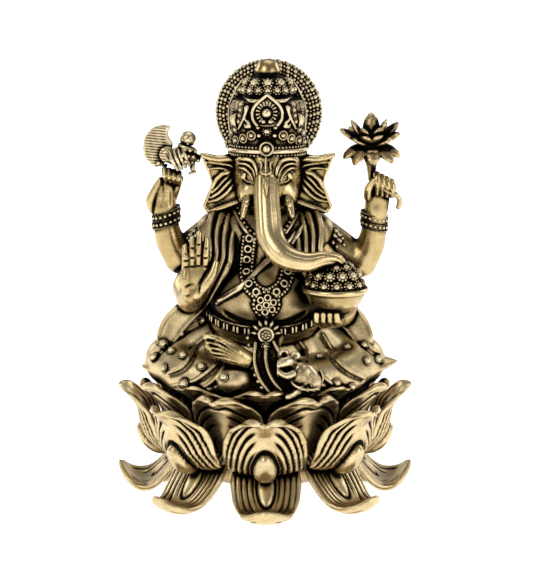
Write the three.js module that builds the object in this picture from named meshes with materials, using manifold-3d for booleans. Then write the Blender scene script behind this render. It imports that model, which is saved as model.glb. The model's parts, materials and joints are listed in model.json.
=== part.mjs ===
// Seated elephant-headed deity on an open lotus: a small cast brass table figure.
// Millimetres, +Z up, the front faces -Y, origin under the middle of the lotus. Left and right are the viewer's.
import * as THREE from "three";
import { mergeVertices } from "three/addons/utils/BufferGeometryUtils.js";
import Module from "manifold-3d";

const wasm = await Module();
wasm.setup();

// Driving dimensions.
const HEIGHT = 100.5;
const LOTUS_RADIUS = 34.3;
const SEAT_HEIGHT = 26;
const PETALS_PER_RING = 8;
const SEAM = 0.35; // clearance between two pieces that meet
const HEAD_MIDDLE = 0.6; // the head and crown stand this far right of the lotus's middle

const BRIM_HEIGHT = 79.5;
const HALO_RADIUS = 11.8;
const HALO_HEIGHT = HEIGHT - 0.9 - HALO_RADIUS;
const BOWL = { x: 15.6, y: -16, bottom: 45, rim: 50.7, radius: 7.3 };

const FINISHES = {
  skin: new THREE.MeshStandardMaterial({ color: 0xc9a866, roughness: 0.28, metalness: 1 }),
  cloth: new THREE.MeshStandardMaterial({ color: 0xb0925a, roughness: 0.38, metalness: 1 }),
  ornament: new THREE.MeshStandardMaterial({ color: 0xd4bb84, roughness: 0.3, metalness: 1 }),
  lotus: new THREE.MeshStandardMaterial({ color: 0xc2a163, roughness: 0.34, metalness: 1 }),
};

// Shape helpers. Each maker takes grow, the distance by which its surface stands out from the piece's own, so
// that a grown copy can cut the clearance for it out of a neighbour.

function solidOf(geometry) {
  geometry.deleteAttribute("normal");
  geometry.deleteAttribute("uv");
  const merged = mergeVertices(geometry, 1e-4);
  return new wasm.Manifold(
    new wasm.Mesh({
      numProp: 3,
      vertProperties: merged.attributes.position.array,
      triVerts: new Uint32Array(merged.index.array),
    }),
  );
}

function reshape(geometry, move) {
  const place = geometry.attributes.position;
  const point = new THREE.Vector3();
  for (let i = 0; i < place.count; i++) {
    move(point.fromBufferAttribute(place, i));
    place.setXYZ(i, point.x, point.y, point.z);
  }
  return geometry;
}

const join = (...solids) => solids.reduce((whole, next) => whole.add(next));

// A round or flattened bar along a smooth curve, with its half width given at each of the curve's points.
// depth is its half thickness over its half width, measured towards facing.
function bar(points, radii, { depth = 1, facing = [0, -1, 0], sides = 8, rings = 2 * points.length } = {}) {
  return (grow) => {
    const curve = new THREE.CatmullRomCurve3(points.map((p) => new THREE.Vector3(...p)));
    const widths = new THREE.CatmullRomCurve3(radii.map((r, i) => new THREE.Vector3(i, r, 0)));
    const front = new THREE.Vector3(...facing);
    const stations = Array.from({ length: rings + 1 }, (_, k) => {
      const t = k / rings;
      const along = curve.getTangent(t);
      const normal = front.clone().addScaledVector(along, -front.dot(along)).normalize();
      const side = new THREE.Vector3().crossVectors(normal, along);
      const end = k === 0 ? -grow : k === rings ? grow : 0;
      const middle = curve.getPoint(t).addScaledVector(along, end);
      const width = widths.getPoint(t).y;
      return { middle, side, normal, wide: width + grow, deep: width * depth + grow };
    });
    const shape = new THREE.CylinderGeometry(1, 1, 1, sides, rings);
    return solidOf(
      reshape(shape, (p) => {
        const { middle, side, normal, wide, deep } = stations[Math.round((0.5 - p.y) * rings)];
        const [across, out] = [p.x * wide, p.z * deep];
        p.copy(middle).addScaledVector(side, across).addScaledVector(normal, out);
      }),
    );
  };
}

// An ellipsoid, turned about the vertical by turn degrees and about the view line by lean degrees.
function egg(middle, radii, { turn = 0, lean = 0, sides = 12, rings = 8 } = {}) {
  return (grow) => {
    const shape = new THREE.SphereGeometry(1, sides, rings).rotateX(Math.PI / 2);
    shape.scale(...radii.map((r) => r + grow));
    shape.rotateZ(THREE.MathUtils.degToRad(turn));
    shape.rotateY(THREE.MathUtils.degToRad(lean));
    return solidOf(shape.translate(...middle));
  };
}

// A turned piece. The profile is [radius, height] from the axis at its foot to the axis at its top.
function turned(profile, [x, y] = [0, 0], { depth = 1, sides = 20 } = {}) {
  return (grow) => {
    const middle = (profile[0][1] + profile.at(-1)[1]) / 2;
    const points = profile.map(
      ([r, z]) => new THREE.Vector2(r > 0 ? r + grow : 0, z + Math.sign(z - middle) * grow),
    );
    const shape = new THREE.LatheGeometry(points, sides).rotateX(Math.PI / 2);
    return solidOf(shape.scale(1, depth, 1).translate(x, y, 0));
  };
}

// A flat plate: an outline in the XZ plane, of the stated thickness, with its middle at depth y.
function plate(outline, y, thickness, turn = 0) {
  return (grow) => {
    const shape = new THREE.Shape(outline.map(([x, z]) => new THREE.Vector2(x, z)));
    const middle = shape.getPoints().reduce((sum, p) => sum.add(p), new THREE.Vector2()).divideScalar(outline.length);
    const solid = new THREE.ExtrudeGeometry(shape, { depth: thickness + 2 * grow, bevelEnabled: false });
    solid.translate(-middle.x, -middle.y, -thickness / 2 - grow);
    const half = Math.max(...outline.map(([x, z]) => Math.hypot(x - middle.x, z - middle.y)));
    solid.scale(1 + grow / half * 2, 1 + grow / half * 2, 1).rotateX(Math.PI / 2);
    solid.rotateZ(THREE.MathUtils.degToRad(turn));
    return solidOf(solid.translate(middle.x, y, middle.y));
  };
}

// The lotus. Each ring of petals has one profile, a curve of [radius, height] from the root to the tip, and the
// petals are curled plates that follow it.
const WALL = 1.5;
const RINGS = {
  lower: {
    profile: [[18.6, 10.4], [23, 4.4], [27, 0.1], [30.4, 0.3], [LOTUS_RADIUS - 0.2, 6.2]],
    halfWidth: 8.8,
    cup: 3.2,
    offset: 0,
  },
  upper: {
    profile: [[20.5, 11.2], [25.5, 12.4], [27.6, 16.5], [29, 20.8], [LOTUS_RADIUS - 0.4, 25.2]],
    halfWidth: 9.6,
    cup: 3.4,
    offset: 0,
  },
  middle: {
    profile: [[21.5, 15], [23.4, 17.5], [25, 21.6], [30, 27.2]],
    halfWidth: 7.2,
    cup: 1.6,
    offset: 0.5,
  },
  inner: {
    profile: [[20.4, 21], [22, 23.4], [26.3, 28.3]],
    halfWidth: 6.8,
    cup: 1.5,
    offset: 0,
  },
};

// A petal's half width over its greatest, from the root (t = 0) to the tip (t = 1).
const petalWidth = (t) => 0.46 + 0.54 * Math.sin(Math.PI * Math.min(1, t * 1.12 + 0.1)) ** 0.8 - 0.34 * t ** 4;

// The lower petals carry the figure: each is ground flat where it touches the table.
const BELOW_TABLE = 10;
const table = solidOf(new THREE.BoxGeometry(100, 100, BELOW_TABLE).translate(0, 0, -BELOW_TABLE / 2));

function petal({ profile, halfWidth, cup, offset }, number) {
  return (grow) => {
    const curve = new THREE.SplineCurve(profile.map(([r, z]) => new THREE.Vector2(r, z)));
    const angle = ((number + offset) * 2 * Math.PI) / PETALS_PER_RING;
    const outward = new THREE.Vector3(Math.sin(angle), -Math.cos(angle), 0);
    const across = new THREE.Vector3(Math.cos(angle), Math.sin(angle), 0);
    const upright = new THREE.Vector3(0, 0, 1);
    // A lower petal is a boat, open upwards: its edges rise. The others bulge outwards: their edges draw in.
    const edge = profile[1][1] < profile[0][1] ? upright : outward.clone().negate();
    const shape = new THREE.BoxGeometry(1, 1, 1, 4, 5, 1);
    const leaf = solidOf(
      reshape(shape, (p) => {
        const t = p.y + 0.5;
        const s = 2 * p.x;
        const at = curve.getPoint(t);
        const slope = curve.getTangent(t);
        const normal = outward.clone().multiplyScalar(slope.y).addScaledVector(upright, -slope.x);
        const thick = WALL * (1 - 0.35 * t) + 2 * grow;
        const width = halfWidth * petalWidth(t) + grow;
        const lengthen = t === 0 || t === 1 ? (2 * t - 1) * grow : 0;
        const point = outward.clone().multiplyScalar(at.x + slope.x * lengthen);
        point.addScaledVector(upright, at.y + slope.y * lengthen);
        point.addScaledVector(across, s * width);
        point.addScaledVector(edge, cup * s * s * Math.sin(Math.PI * (0.12 + 0.84 * t)));
        p.copy(point.addScaledVector(normal, p.z * thick));
      }),
    );
    return grow ? leaf : leaf.subtract(table);
  };
}

const ring = (name) =>
  Array.from({ length: PETALS_PER_RING }, (_, k) => [`${name}_petal_${k + 1}`, "lotus", petal(RINGS[name], k)]);

function lotusCore(grow) {
  const outside = turned([
    [0, 5], [16, 5], [18, 7], [18.2, 12], [20.4, 16.5], [20.4, 22], [19, SEAT_HEIGHT], [0, SEAT_HEIGHT],
  ])(grow);
  if (grow) return outside;
  const hollow = turned([[0, 4], [14.2, 4], [14.6, 14], [10, 18.4], [0, 20]])(0);
  return outside.subtract(hollow);
}

function innerPetalRing(grow) {
  const petals = Array.from({ length: PETALS_PER_RING }, (_, k) => petal(RINGS.inner, k)(grow));
  const collar = turned([[0, 19.8], [22.2, 19.8], [22.6, 23], [21, 23.6], [0, 23.6]])(grow);
  return join(collar, ...petals);
}

// The seated body. Its three rounds carry the belt, the necklace and the thread.
const CHEST = { middle: [0, -2, 59], radii: [13, 8.8, 8.6] };
const BELLY = { middle: [0, -4.2, 47.6], radii: [12.6, 12.4, 10.4] };
const LOINS = { middle: [0, -2.5, 41], radii: [13.4, 13.2, 6.6] };
const NECK = bar([[0, 0, 60], [0.5, -1, 70]], [5.5, 5], { rings: 2 });

function torso(grow) {
  return join(...[CHEST, BELLY, LOINS].map(({ middle, radii }) => egg(middle, radii)(grow)), NECK(grow));
}

// The point at x and z on the front of the body, moved out from it.
function onBody(x, z, out) {
  const depths = [CHEST, BELLY, LOINS].map(({ middle, radii }) => {
    const rest = 1 - ((x - middle[0]) / radii[0]) ** 2 - ((z - middle[2]) / radii[2]) ** 2;
    return middle[1] - radii[1] * Math.sqrt(Math.max(rest, 0));
  });
  return [x, Math.min(...depths) - out, z];
}

// The wrapped cloth under the waist, which rests on the seat.
const HIPS = turned(
  [[0, SEAT_HEIGHT + SEAM], [14, SEAT_HEIGHT + SEAM], [16, 29.4], [15.6, 34], [13.6, 38.6], [0, 41]],
  [0, 1.4],
  { sides: 16, depth: 0.84 },
);

// Each folded leg runs from the hip out to the knee, and its shin comes back across the front.
const LEFT_LEG = bar(
  [[-6, 3, 34], [-15, -1, 34], [-21.5, -7, 32.4], [-17, -14.5, 30.8], [-8, -17.6, 30.2], [-3, -18.4, 30]],
  [5, 6.4, 6, 5.1, 3.9, 2.4],
  { facing: [0, 0, 1], rings: 14 },
);
const RIGHT_LEG = bar(
  [[6, 3, 34], [15, -1, 34], [22, -7, 32.6], [18, -14.5, 31], [9.5, -17.4, 30.4], [4.6, -18, 30]],
  [5, 6.4, 6, 5.1, 3.9, 2.4],
  { facing: [0, 0, 1], rings: 14 },
);
const FOOT = bar([[-14.4, -16.8, 38.8], [-9, -19.4, 37], [-3, -20, 34.6]], [1.6, 2.9, 2.4], { depth: 0.8 });
const PLEAT = bar([[0.4, -17.4, 37.8], [-0.4, -21, 33.6], [0.6, -22.4, 28.6]], [2.2, 2.8, 3.8], { depth: 0.35 });

function mouse(grow) {
  return join(
    egg([4.6, -22.6, 35.2], [2.6, 2, 3.1], { lean: 35 })(grow),
    egg([8.8, -22.8, 31.6], [2.9, 2.1, 3.9], { lean: 30 })(grow),
    egg([5.6, -22.6, 37.6], [2.8, 0.9, 1.5], { lean: 30, sides: 8, rings: 6 })(grow),
  );
}

// The four arms. Each is an upper arm and a forearm that meet in the round of the elbow.
function arm(shoulder, elbow, radius, wrist) {
  return (grow) =>
    join(
      bar([...shoulder.points, elbow], [...shoulder.radii, radius], { rings: 5 })(grow),
      egg(elbow, [radius, radius, radius], { sides: 10, rings: 6 })(grow),
      bar([elbow, ...wrist.points], [radius, ...wrist.radii], { rings: 7 })(grow),
    );
}
const LEFT_REAR_ARM = arm(
  { points: [[-11, 2.5, 61], [-16, 1.5, 57]], radii: [4.4, 4] },
  [-20.6, -0.4, 55],
  3.4,
  { points: [[-22.4, -1.2, 62], [-22.8, -1.8, 69], [-22, -2.6, 75]], radii: [2.6, 2.7, 1.7] },
);
const RIGHT_REAR_ARM = arm(
  { points: [[11, 2.5, 61], [17, 1.5, 56.6]], radii: [4.4, 4] },
  [23, -0.4, 54],
  3.5,
  { points: [[24.8, -1.2, 61.6], [25.3, -1.9, 68.6], [25.6, -2.6, 73.6]], radii: [2.5, 2.9, 2.3] },
);
const LEFT_FRONT_ARM = arm(
  { points: [[-11.5, 0, 58], [-15.6, -1, 53]], radii: [3.8, 3.6] },
  [-17.8, -4.4, 48.4],
  3.3,
  { points: [[-16.8, -10, 46.8], [-15.2, -14.8, 49.4]], radii: [2.9, 2.6] },
);
const RIGHT_FRONT_ARM = arm(
  { points: [[11.5, 0, 58], [16.2, -1, 52]], radii: [3.8, 3.5] },
  [18.6, -4.4, 46.6],
  3.1,
  { points: [[17.6, -10.4, 43.4], [12.6, -16.4, 43]], radii: [2.6, 1.8] },
);

// The open hand that gives a blessing, with its palm to the front.
const PALM = bar([[-15.2, -15.6, 49], [-14.6, -16, 53.4], [-13.9, -15.6, 58], [-13.7, -14.6, 62]], [2.4, 3.8, 3.4, 2], {
  depth: 0.42,
});
const THUMB = bar([[-12.4, -15.8, 50.6], [-10.6, -15.8, 53.6], [-10, -15.8, 56]], [1.6, 1.3, 0.8], { rings: 4 });
const leftFrontArm = (grow) => join(LEFT_FRONT_ARM(grow), PALM(grow), THUMB(grow));

const LEFT_BANGLE = bar([[-22.6, -1.1, 62.2], [-22.8, -1.5, 66.6]], [3.5, 3.2], { sides: 12, rings: 2 });
const RIGHT_BANGLE = bar([[25, -1.1, 61.4], [25.1, -1.5, 65.8]], [3.4, 3.1], { sides: 12, rings: 2 });

// What the hands hold.
function axe(grow) {
  const blade = [
    [-22.2, 85.6], [-25, 84.6], [-27.2, 82.4], [-27.7, 79.6], [-26.6, 77], [-24, 75.8], [-22.4, 77.4], [-20.6, 79],
    [-20.6, 81.4], [-22, 83.4],
  ];
  return join(
    plate(blade, -3, 1.5)(grow),
    bar([[-22.4, -3, 79.4], [-19, -3.2, 78.6], [-15.6, -3.6, 77.4]], [1.8, 2.5, 1.6])(grow),
    egg([-18.2, -3.2, 81.8], [1.9, 1.9, 2.2], { sides: 8, rings: 6 })(grow),
  );
}

function lotusFlower(grow) {
  return join(
    turned([[0, 76.6], [1.4, 76.8], [6.6, 78.6], [7, 80.4], [6.8, 84.2], [3.4, 85], [0, 88]], [24, -1.4], {
      sides: 12,
    })(grow),
    bar([[24, -1.4, 78], [24.4, -2.4, 74.4], [25.4, -5.2, 72.6], [27.6, -5.4, 70.6], [30.4, -3.6, 66.8]],
      [1.2, 1, 0.9, 0.9, 0.9], { sides: 6, rings: 8, facing: [1, 0, 0.4] })(grow),
  );
}

function bowl(grow) {
  const { x, y, bottom, rim, radius } = BOWL;
  const outside = turned(
    [[0, bottom], [2.6, bottom + 0.2], [5.4, bottom + 1.8], [6.9, rim - 1.2], [radius, rim], [0, rim]],
    [x, y],
  )(grow);
  if (grow) return outside;
  const inside = turned([[0, rim - 2], [radius - 1.6, rim - 1.6], [radius - 0.8, rim + 1], [0, rim + 1]], [x, y])(0);
  return outside.subtract(inside);
}
const SWEETS = turned(
  [[0, BOWL.rim - 1.7], [5.3, BOWL.rim - 1.3], [6.2, BOWL.rim + 1.4], [4.6, BOWL.rim + 4.6], [0, BOWL.rim + 6.4]],
  [BOWL.x, BOWL.y],
  { sides: 16 },
);

// The head and the crown.
function head(grow) {
  return join(
    egg([HEAD_MIDDLE, -3.6, 74.4], [8, 8.2, 9.2])(grow),
    egg([HEAD_MIDDLE, -7, 70], [6, 5, 4.6])(grow),
  );
}
const TRUNK = bar(
  [
    [0.7, -9.6, 78], [0.7, -12.6, 72], [0.6, -14.8, 66], [1.3, -16.8, 61], [4.6, -18.6, 58.2], [9.6, -19.4, 57.6],
    [14, -18.8, 57.6], [17.2, -17.4, 55.8],
  ],
  [3, 3.5, 3.2, 3.1, 2.8, 2.4, 1.8, 1.1],
  { sides: 10, rings: 16 },
);
const tusk = (side) =>
  bar([[HEAD_MIDDLE + 4 * side, -9.6, 70.6], [HEAD_MIDDLE + 5 * side, -12.4, 66.2]], [1.5, 0.9], { rings: 2 });

function ear(side) {
  const outline = [
    [5.6, 78.6], [10, 78.8], [15, 78.6], [14.2, 75.4], [12.2, 73], [12.8, 70.4], [14.6, 66.8], [13, 65.6],
    [9, 66.8], [5.6, 70],
  ];
  const placed = outline.map(([x, z]) => [HEAD_MIDDLE + side * x, z]);
  return plate(side > 0 ? placed : placed.reverse(), -3.4, 2.4, side * 14);
}

const CROWN = turned(
  [
    [0, BRIM_HEIGHT], [8.9, BRIM_HEIGHT], [9.4, BRIM_HEIGHT + 1.4], [8.9, BRIM_HEIGHT + 3], [9.6, BRIM_HEIGHT + 8],
    [8.8, BRIM_HEIGHT + 11.6], [7.4, BRIM_HEIGHT + 12.4], [7.4, BRIM_HEIGHT + 14.4], [5.2, BRIM_HEIGHT + 17],
    [0, BRIM_HEIGHT + 17.2],
  ],
  [HEAD_MIDDLE, -2.4],
  { depth: 0.94 },
);
const FINIAL = turned([[0, 97], [3.2, 97], [3.3, 97.8], [2.7, 98], [2.5, 99.4], [1.4, HEIGHT - 0.2], [0, HEIGHT]], [
  HEAD_MIDDLE, -2.4,
], { sides: 16 });

function crownHalo(grow) {
  const profile = [[0, -1.5], [HALO_RADIUS - 0.8, -1.5], [HALO_RADIUS, -0.6], [HALO_RADIUS, 0.6], [HALO_RADIUS - 0.8, 1.5], [0, 1.5]];
  const disc = profile.map(([r, h]) => new THREE.Vector2(r > 0 ? r + grow : 0, h + Math.sign(h) * grow));
  return solidOf(new THREE.LatheGeometry(disc, 24).translate(HEAD_MIDDLE + 0.3, 4.6, HALO_HEIGHT));
}

// Dress and jewels.
const shawl = (side) =>
  bar(
    [[side * 8, -3.4, 66], [side * 9.6, -9, 61], [side * 10.8, -10.6, 54], [side * 14, -9, 46.6], [side * 19, -6, 41]],
    [3.2, 3.8, 3.4, 2.8, 3.2],
    { depth: 0.42, facing: [side * 0.3, -1, 0.2], rings: 12 },
  );
// The belt runs round the loins from its clasp at the back, lowest at the buckle.
const BELT_STEPS = 20;
const BELT_ROUTE = Array.from({ length: BELT_STEPS + 1 }, (_, k) => {
  const angle = Math.PI * (-0.985 + (1.97 * k) / BELT_STEPS);
  const [x, y] = [13.6 * Math.sin(angle), LOINS.middle[1] - 13.6 * Math.cos(angle)];
  return [x, y, 42.2 - 1.8 * Math.cos(angle)];
});
const BELT = bar(BELT_ROUTE, BELT_ROUTE.map(() => 1.5), { rings: 24, sides: 6, facing: [0, 0, 1] });
const BUCKLE = egg([0.2, LOINS.middle[1] - 14.8, 40.4], [2.3, 1.5, 2.3], { sides: 10, rings: 6 });
const NECKLACE = bar(
  [
    [-4.8, 66], [-6, 60.4], [-6.6, 54], [-4.2, 49.8], [0.2, 48.4], [4.6, 49.8], [7.2, 54], [7.6, 60], [6.4, 66],
  ].map(([x, z]) => onBody(x, z, 1.3)),
  [1, 1.3, 1.5, 1.5, 1.4, 1.5, 1.5, 1.3, 1],
  { rings: 16, sides: 6, depth: 0.75 },
);
const PENDANT = egg(onBody(0.2, 46.4, 1.4), [3.1, 1.2, 3.2], { sides: 10, rings: 6 });
const THREAD = bar(
  [[10.2, 63.6], [6.4, 59], [2, 54], [-4.6, 48.8], [-9.4, 45.4]].map(([x, z]) => onBody(x, z, 0.3)),
  [0.6, 0.6, 0.6, 0.6, 0.6],
  { rings: 10, sides: 6 },
);

// Every piece in the order of assembly. Each one is cut clear of the pieces before it.
const PIECES = [
  ["lotus_core", "lotus", lotusCore],
  ...ring("lower"),
  ...ring("upper"),
  ...ring("middle"),
  ["inner_petal_ring", "lotus", innerPetalRing],
  ["torso", "skin", torso],
  ["dhoti_hips", "cloth", HIPS],
  ["left_leg", "cloth", LEFT_LEG],
  ["right_leg", "cloth", RIGHT_LEG],
  ["resting_foot", "skin", FOOT],
  ["dhoti_pleat", "cloth", PLEAT],
  ["mouse", "skin", mouse],
  ["head", "skin", head],
  ["trunk", "skin", TRUNK],
  ["left_tusk", "skin", tusk(-1)],
  ["right_tusk", "skin", tusk(1)],
  ["crown", "ornament", CROWN],
  ["crown_finial", "ornament", FINIAL],
  ["crown_halo", "ornament", crownHalo],
  ["left_ear", "skin", ear(-1)],
  ["right_ear", "skin", ear(1)],
  ["left_shawl", "cloth", shawl(-1)],
  ["right_shawl", "cloth", shawl(1)],
  ["lotus_flower", "ornament", lotusFlower],
  ["left_rear_arm", "skin", LEFT_REAR_ARM],
  ["right_rear_arm", "skin", RIGHT_REAR_ARM],
  ["left_front_arm", "skin", leftFrontArm],
  ["right_front_arm", "skin", RIGHT_FRONT_ARM],
  ["left_bangle", "ornament", LEFT_BANGLE],
  ["right_bangle", "ornament", RIGHT_BANGLE],
  ["axe", "ornament", axe],
  ["bowl", "ornament", bowl],
  ["sweets", "ornament", SWEETS],
  ["sacred_thread", "cloth", THREAD],
  ["belt_buckle", "ornament", BUCKLE],
  ["necklace_pendant", "ornament", PENDANT],
  ["belt", "ornament", BELT],
  ["necklace", "ornament", NECKLACE],
];

const boxesMeet = (a, b) => [0, 1, 2].every((k) => a.min[k] <= b.max[k] && b.min[k] <= a.max[k]);

function largestBody(solid) {
  return solid.decompose().reduce((best, next) => (next.volume() > best.volume() ? next : best));
}

function meshOf(solid, name, finish) {
  const { numProp, vertProperties, triVerts } = solid.getMesh();
  const geometry = new THREE.BufferGeometry();
  geometry.setAttribute("position", new THREE.BufferAttribute(new Float32Array(vertProperties), numProp));
  geometry.setIndex(new THREE.BufferAttribute(new Uint32Array(triVerts), 1));
  geometry.computeVertexNormals();
  const mesh = new THREE.Mesh(geometry, FINISHES[finish]);
  mesh.name = name;
  return mesh;
}

const statue = new THREE.Group();
const cutters = [];
for (const [name, finish, make] of PIECES) {
  const grown = make(SEAM);
  const room = grown.boundingBox();
  const before = cutters.filter((c) => boxesMeet(c.room, room)).map((c) => c.grown);
  const piece = before.reduce((rest, cutter) => rest.subtract(cutter), make(0));
  statue.add(meshOf(largestBody(piece), name, finish));
  cutters.push({ grown, room });
}

export default statue;
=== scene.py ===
"""Looks of a small cast brass table figure: a seated elephant-headed deity on an open lotus.

Every length in this file is in millimetres in the figure's own frame (+Z up, the front faces -Y) until a mesh is
made, which is in metres. Left and right are the viewer's.
"""
import sys
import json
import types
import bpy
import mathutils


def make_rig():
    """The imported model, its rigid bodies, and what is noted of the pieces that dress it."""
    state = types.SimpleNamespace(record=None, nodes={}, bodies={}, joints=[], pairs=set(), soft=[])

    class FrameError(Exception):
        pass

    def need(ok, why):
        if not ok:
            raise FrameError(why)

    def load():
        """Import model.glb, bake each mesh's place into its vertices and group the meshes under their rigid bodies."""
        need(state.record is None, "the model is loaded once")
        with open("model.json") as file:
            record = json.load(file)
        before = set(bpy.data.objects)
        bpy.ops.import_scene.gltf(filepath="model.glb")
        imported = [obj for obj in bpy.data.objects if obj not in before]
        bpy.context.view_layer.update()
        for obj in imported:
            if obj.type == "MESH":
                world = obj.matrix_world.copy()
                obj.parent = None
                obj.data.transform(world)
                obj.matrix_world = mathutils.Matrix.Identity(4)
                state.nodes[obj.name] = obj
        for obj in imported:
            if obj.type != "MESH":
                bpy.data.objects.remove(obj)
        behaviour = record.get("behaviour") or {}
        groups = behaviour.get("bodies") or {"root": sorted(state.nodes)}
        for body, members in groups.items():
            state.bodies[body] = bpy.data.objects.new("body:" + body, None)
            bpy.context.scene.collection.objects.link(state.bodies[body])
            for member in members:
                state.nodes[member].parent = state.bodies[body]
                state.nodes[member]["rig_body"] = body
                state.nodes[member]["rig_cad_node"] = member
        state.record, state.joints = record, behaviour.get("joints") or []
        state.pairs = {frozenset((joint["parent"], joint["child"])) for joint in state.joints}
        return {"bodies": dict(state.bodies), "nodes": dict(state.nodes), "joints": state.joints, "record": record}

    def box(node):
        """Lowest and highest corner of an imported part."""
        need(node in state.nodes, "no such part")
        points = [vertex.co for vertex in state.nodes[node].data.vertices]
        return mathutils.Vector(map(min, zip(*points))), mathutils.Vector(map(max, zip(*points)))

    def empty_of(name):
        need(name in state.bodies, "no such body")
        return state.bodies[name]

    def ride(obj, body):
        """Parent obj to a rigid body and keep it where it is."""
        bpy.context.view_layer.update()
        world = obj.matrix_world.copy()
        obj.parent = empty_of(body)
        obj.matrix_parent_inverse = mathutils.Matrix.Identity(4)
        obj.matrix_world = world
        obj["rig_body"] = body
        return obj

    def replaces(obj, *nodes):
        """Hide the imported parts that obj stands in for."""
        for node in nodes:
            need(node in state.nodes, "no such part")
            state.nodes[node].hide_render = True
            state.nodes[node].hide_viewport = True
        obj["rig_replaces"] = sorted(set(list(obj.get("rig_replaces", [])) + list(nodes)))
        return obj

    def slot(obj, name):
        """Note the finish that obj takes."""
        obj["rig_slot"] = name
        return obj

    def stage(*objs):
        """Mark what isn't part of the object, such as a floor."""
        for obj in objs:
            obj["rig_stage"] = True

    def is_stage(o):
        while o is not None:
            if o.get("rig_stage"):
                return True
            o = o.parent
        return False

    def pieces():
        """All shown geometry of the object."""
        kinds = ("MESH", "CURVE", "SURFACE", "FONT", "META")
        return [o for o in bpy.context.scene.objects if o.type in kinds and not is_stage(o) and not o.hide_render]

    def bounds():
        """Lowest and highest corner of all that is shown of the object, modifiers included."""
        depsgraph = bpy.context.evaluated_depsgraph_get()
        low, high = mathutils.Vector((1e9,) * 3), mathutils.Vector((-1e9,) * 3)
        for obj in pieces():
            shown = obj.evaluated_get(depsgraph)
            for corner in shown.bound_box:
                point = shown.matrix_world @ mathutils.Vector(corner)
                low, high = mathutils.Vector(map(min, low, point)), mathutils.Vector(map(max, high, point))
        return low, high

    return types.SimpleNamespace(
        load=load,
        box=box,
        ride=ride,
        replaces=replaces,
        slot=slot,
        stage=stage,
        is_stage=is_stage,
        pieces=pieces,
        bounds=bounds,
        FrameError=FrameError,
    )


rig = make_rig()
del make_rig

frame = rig.load()

import json
import math

import bmesh
import bpy
import numpy as np
import openvdb
from bpy.props import FloatProperty, FloatVectorProperty, PointerProperty
from mathutils import Matrix, Vector

bl_info = {
    "name": "Cast brass lotus figure",
    "version": (1, 0, 0),
    "blender": (4, 5, 0),
    "location": "3D View > Sidebar > Figure",
    "description": "Models the wax pieces of a seated figure on a lotus and gives them an antique brass finish",
    "category": "Add Mesh",
}

MM = 0.001
FAR = 50.0  # a distance that stands for open air round the wax
RAY = 60.0  # how far a ray looks for the wax
GROOVE_DEPTH = 0.55
GROOVE_WASH = 0.55  # how much more of the wash a groove holds
CAD_BOX = [list(corner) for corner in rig.bounds()]
SIDES = ((-1, "left"), (1, "right"))
TO_THE_FRONT = (0, -1, 0.1)  # the facing of jewels that aren't laid on a surface
DONE = {"FINISHED"}
BLOCKS = {}  # the wax blocks of finished pieces, kept so that jewels can be laid on them
PIECES = []
STAINS = {}  # how much more, or less, of the wash a piece keeps than its neighbours; on the arms part of it is painted shade that tones down their bright reflections


def box_of(*nodes):
    """The lowest and highest corners, in millimetres, of the box round some CAD nodes."""
    corners = np.array([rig.box(node) for node in nodes]) / MM
    return corners[:, 0].min(0), corners[:, 1].max(0)


def middle_of(node):
    low, high = box_of(node)
    return (low + high) / 2


def unit(vectors):
    """The same directions at a length of one."""
    vectors = np.asarray(vectors, float)
    return vectors / np.maximum(np.linalg.norm(vectors, axis=-1, keepdims=True), 1e-9)


def turns(count, start=0.0):
    """Angles at even steps round a full turn."""
    return start + np.arange(count) * 2 * np.pi / count


def on_circle(middle, radius, angles):
    """Points of a plane on a circle round a middle."""
    return np.column_stack([middle[0] + radius * np.cos(angles), middle[1] + radius * np.sin(angles)])


def lengths_along(path):
    """How far along a path of points each of them lies."""
    return np.concatenate([[0], np.cumsum(np.linalg.norm(np.diff(path, axis=0), axis=1))])


def read(items, key, width=3, kind=np.float32):
    """One property of all the vertices, triangles or values of a mesh, as rows."""
    values = np.zeros(len(items) * width, kind)
    items.foreach_get(key, values)
    return values.reshape(-1, width)


def write_values(mesh, name, values):
    """Stores a number on every vertex."""
    mesh.attributes.new(name, "FLOAT", "POINT").data.foreach_set("value", np.asarray(values, np.float32).ravel())


def between_cells(field, at):
    """The values of a grid at places counted in its cells, by linear interpolation."""
    at = np.moveaxis(np.clip(at, 0, np.array(field.shape) - 1.001), -1, 0)
    x, y, z = at.astype(int)
    u, v, w = at - (x, y, z)
    total = 0
    for dx, dy, dz in np.ndindex(2, 2, 2):
        weight = np.abs(1 - dx - u) * np.abs(1 - dy - v) * np.abs(1 - dz - w)
        total = total + weight * field[x + dx, y + dy, z + dz]
    return total


# ---------------------------------------------------------------------------------------------------------------
# Modelling in wax: a distance field on a grid, which shapes are added to and cut from.


def smooth_path(points, values, step):
    """Points at about an even step on a smooth curve through the stated ones, with the values carried along."""
    given = np.column_stack([np.asarray(points, float), np.asarray(values, float)])
    ends = np.vstack([2 * given[0] - given[1], given, 2 * given[-1] - given[-2]])
    pieces = []
    for p0, p1, p2, p3 in zip(ends[:-3], ends[1:-2], ends[2:-1], ends[3:]):
        count = max(1, int(np.linalg.norm((p2 - p1)[:3]) / step))
        t = np.arange(count)[:, None] / count
        pieces.append(0.5 * (2 * p1 + (p2 - p0) * t + (2 * p0 - 5 * p1 + 4 * p2 - p3) * t**2
                             + (3 * p1 - p0 - 3 * p2 + p3) * t**3))
    path = np.vstack(pieces + [given[-1:]])
    return path[:, :3], path[:, 3]


def smooth_min(a, b, blend):
    if blend <= 0:
        return np.minimum(a, b)
    overlap = np.maximum(blend - np.abs(a - b), 0) / blend
    return np.minimum(a, b) - overlap * overlap * blend / 4


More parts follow.
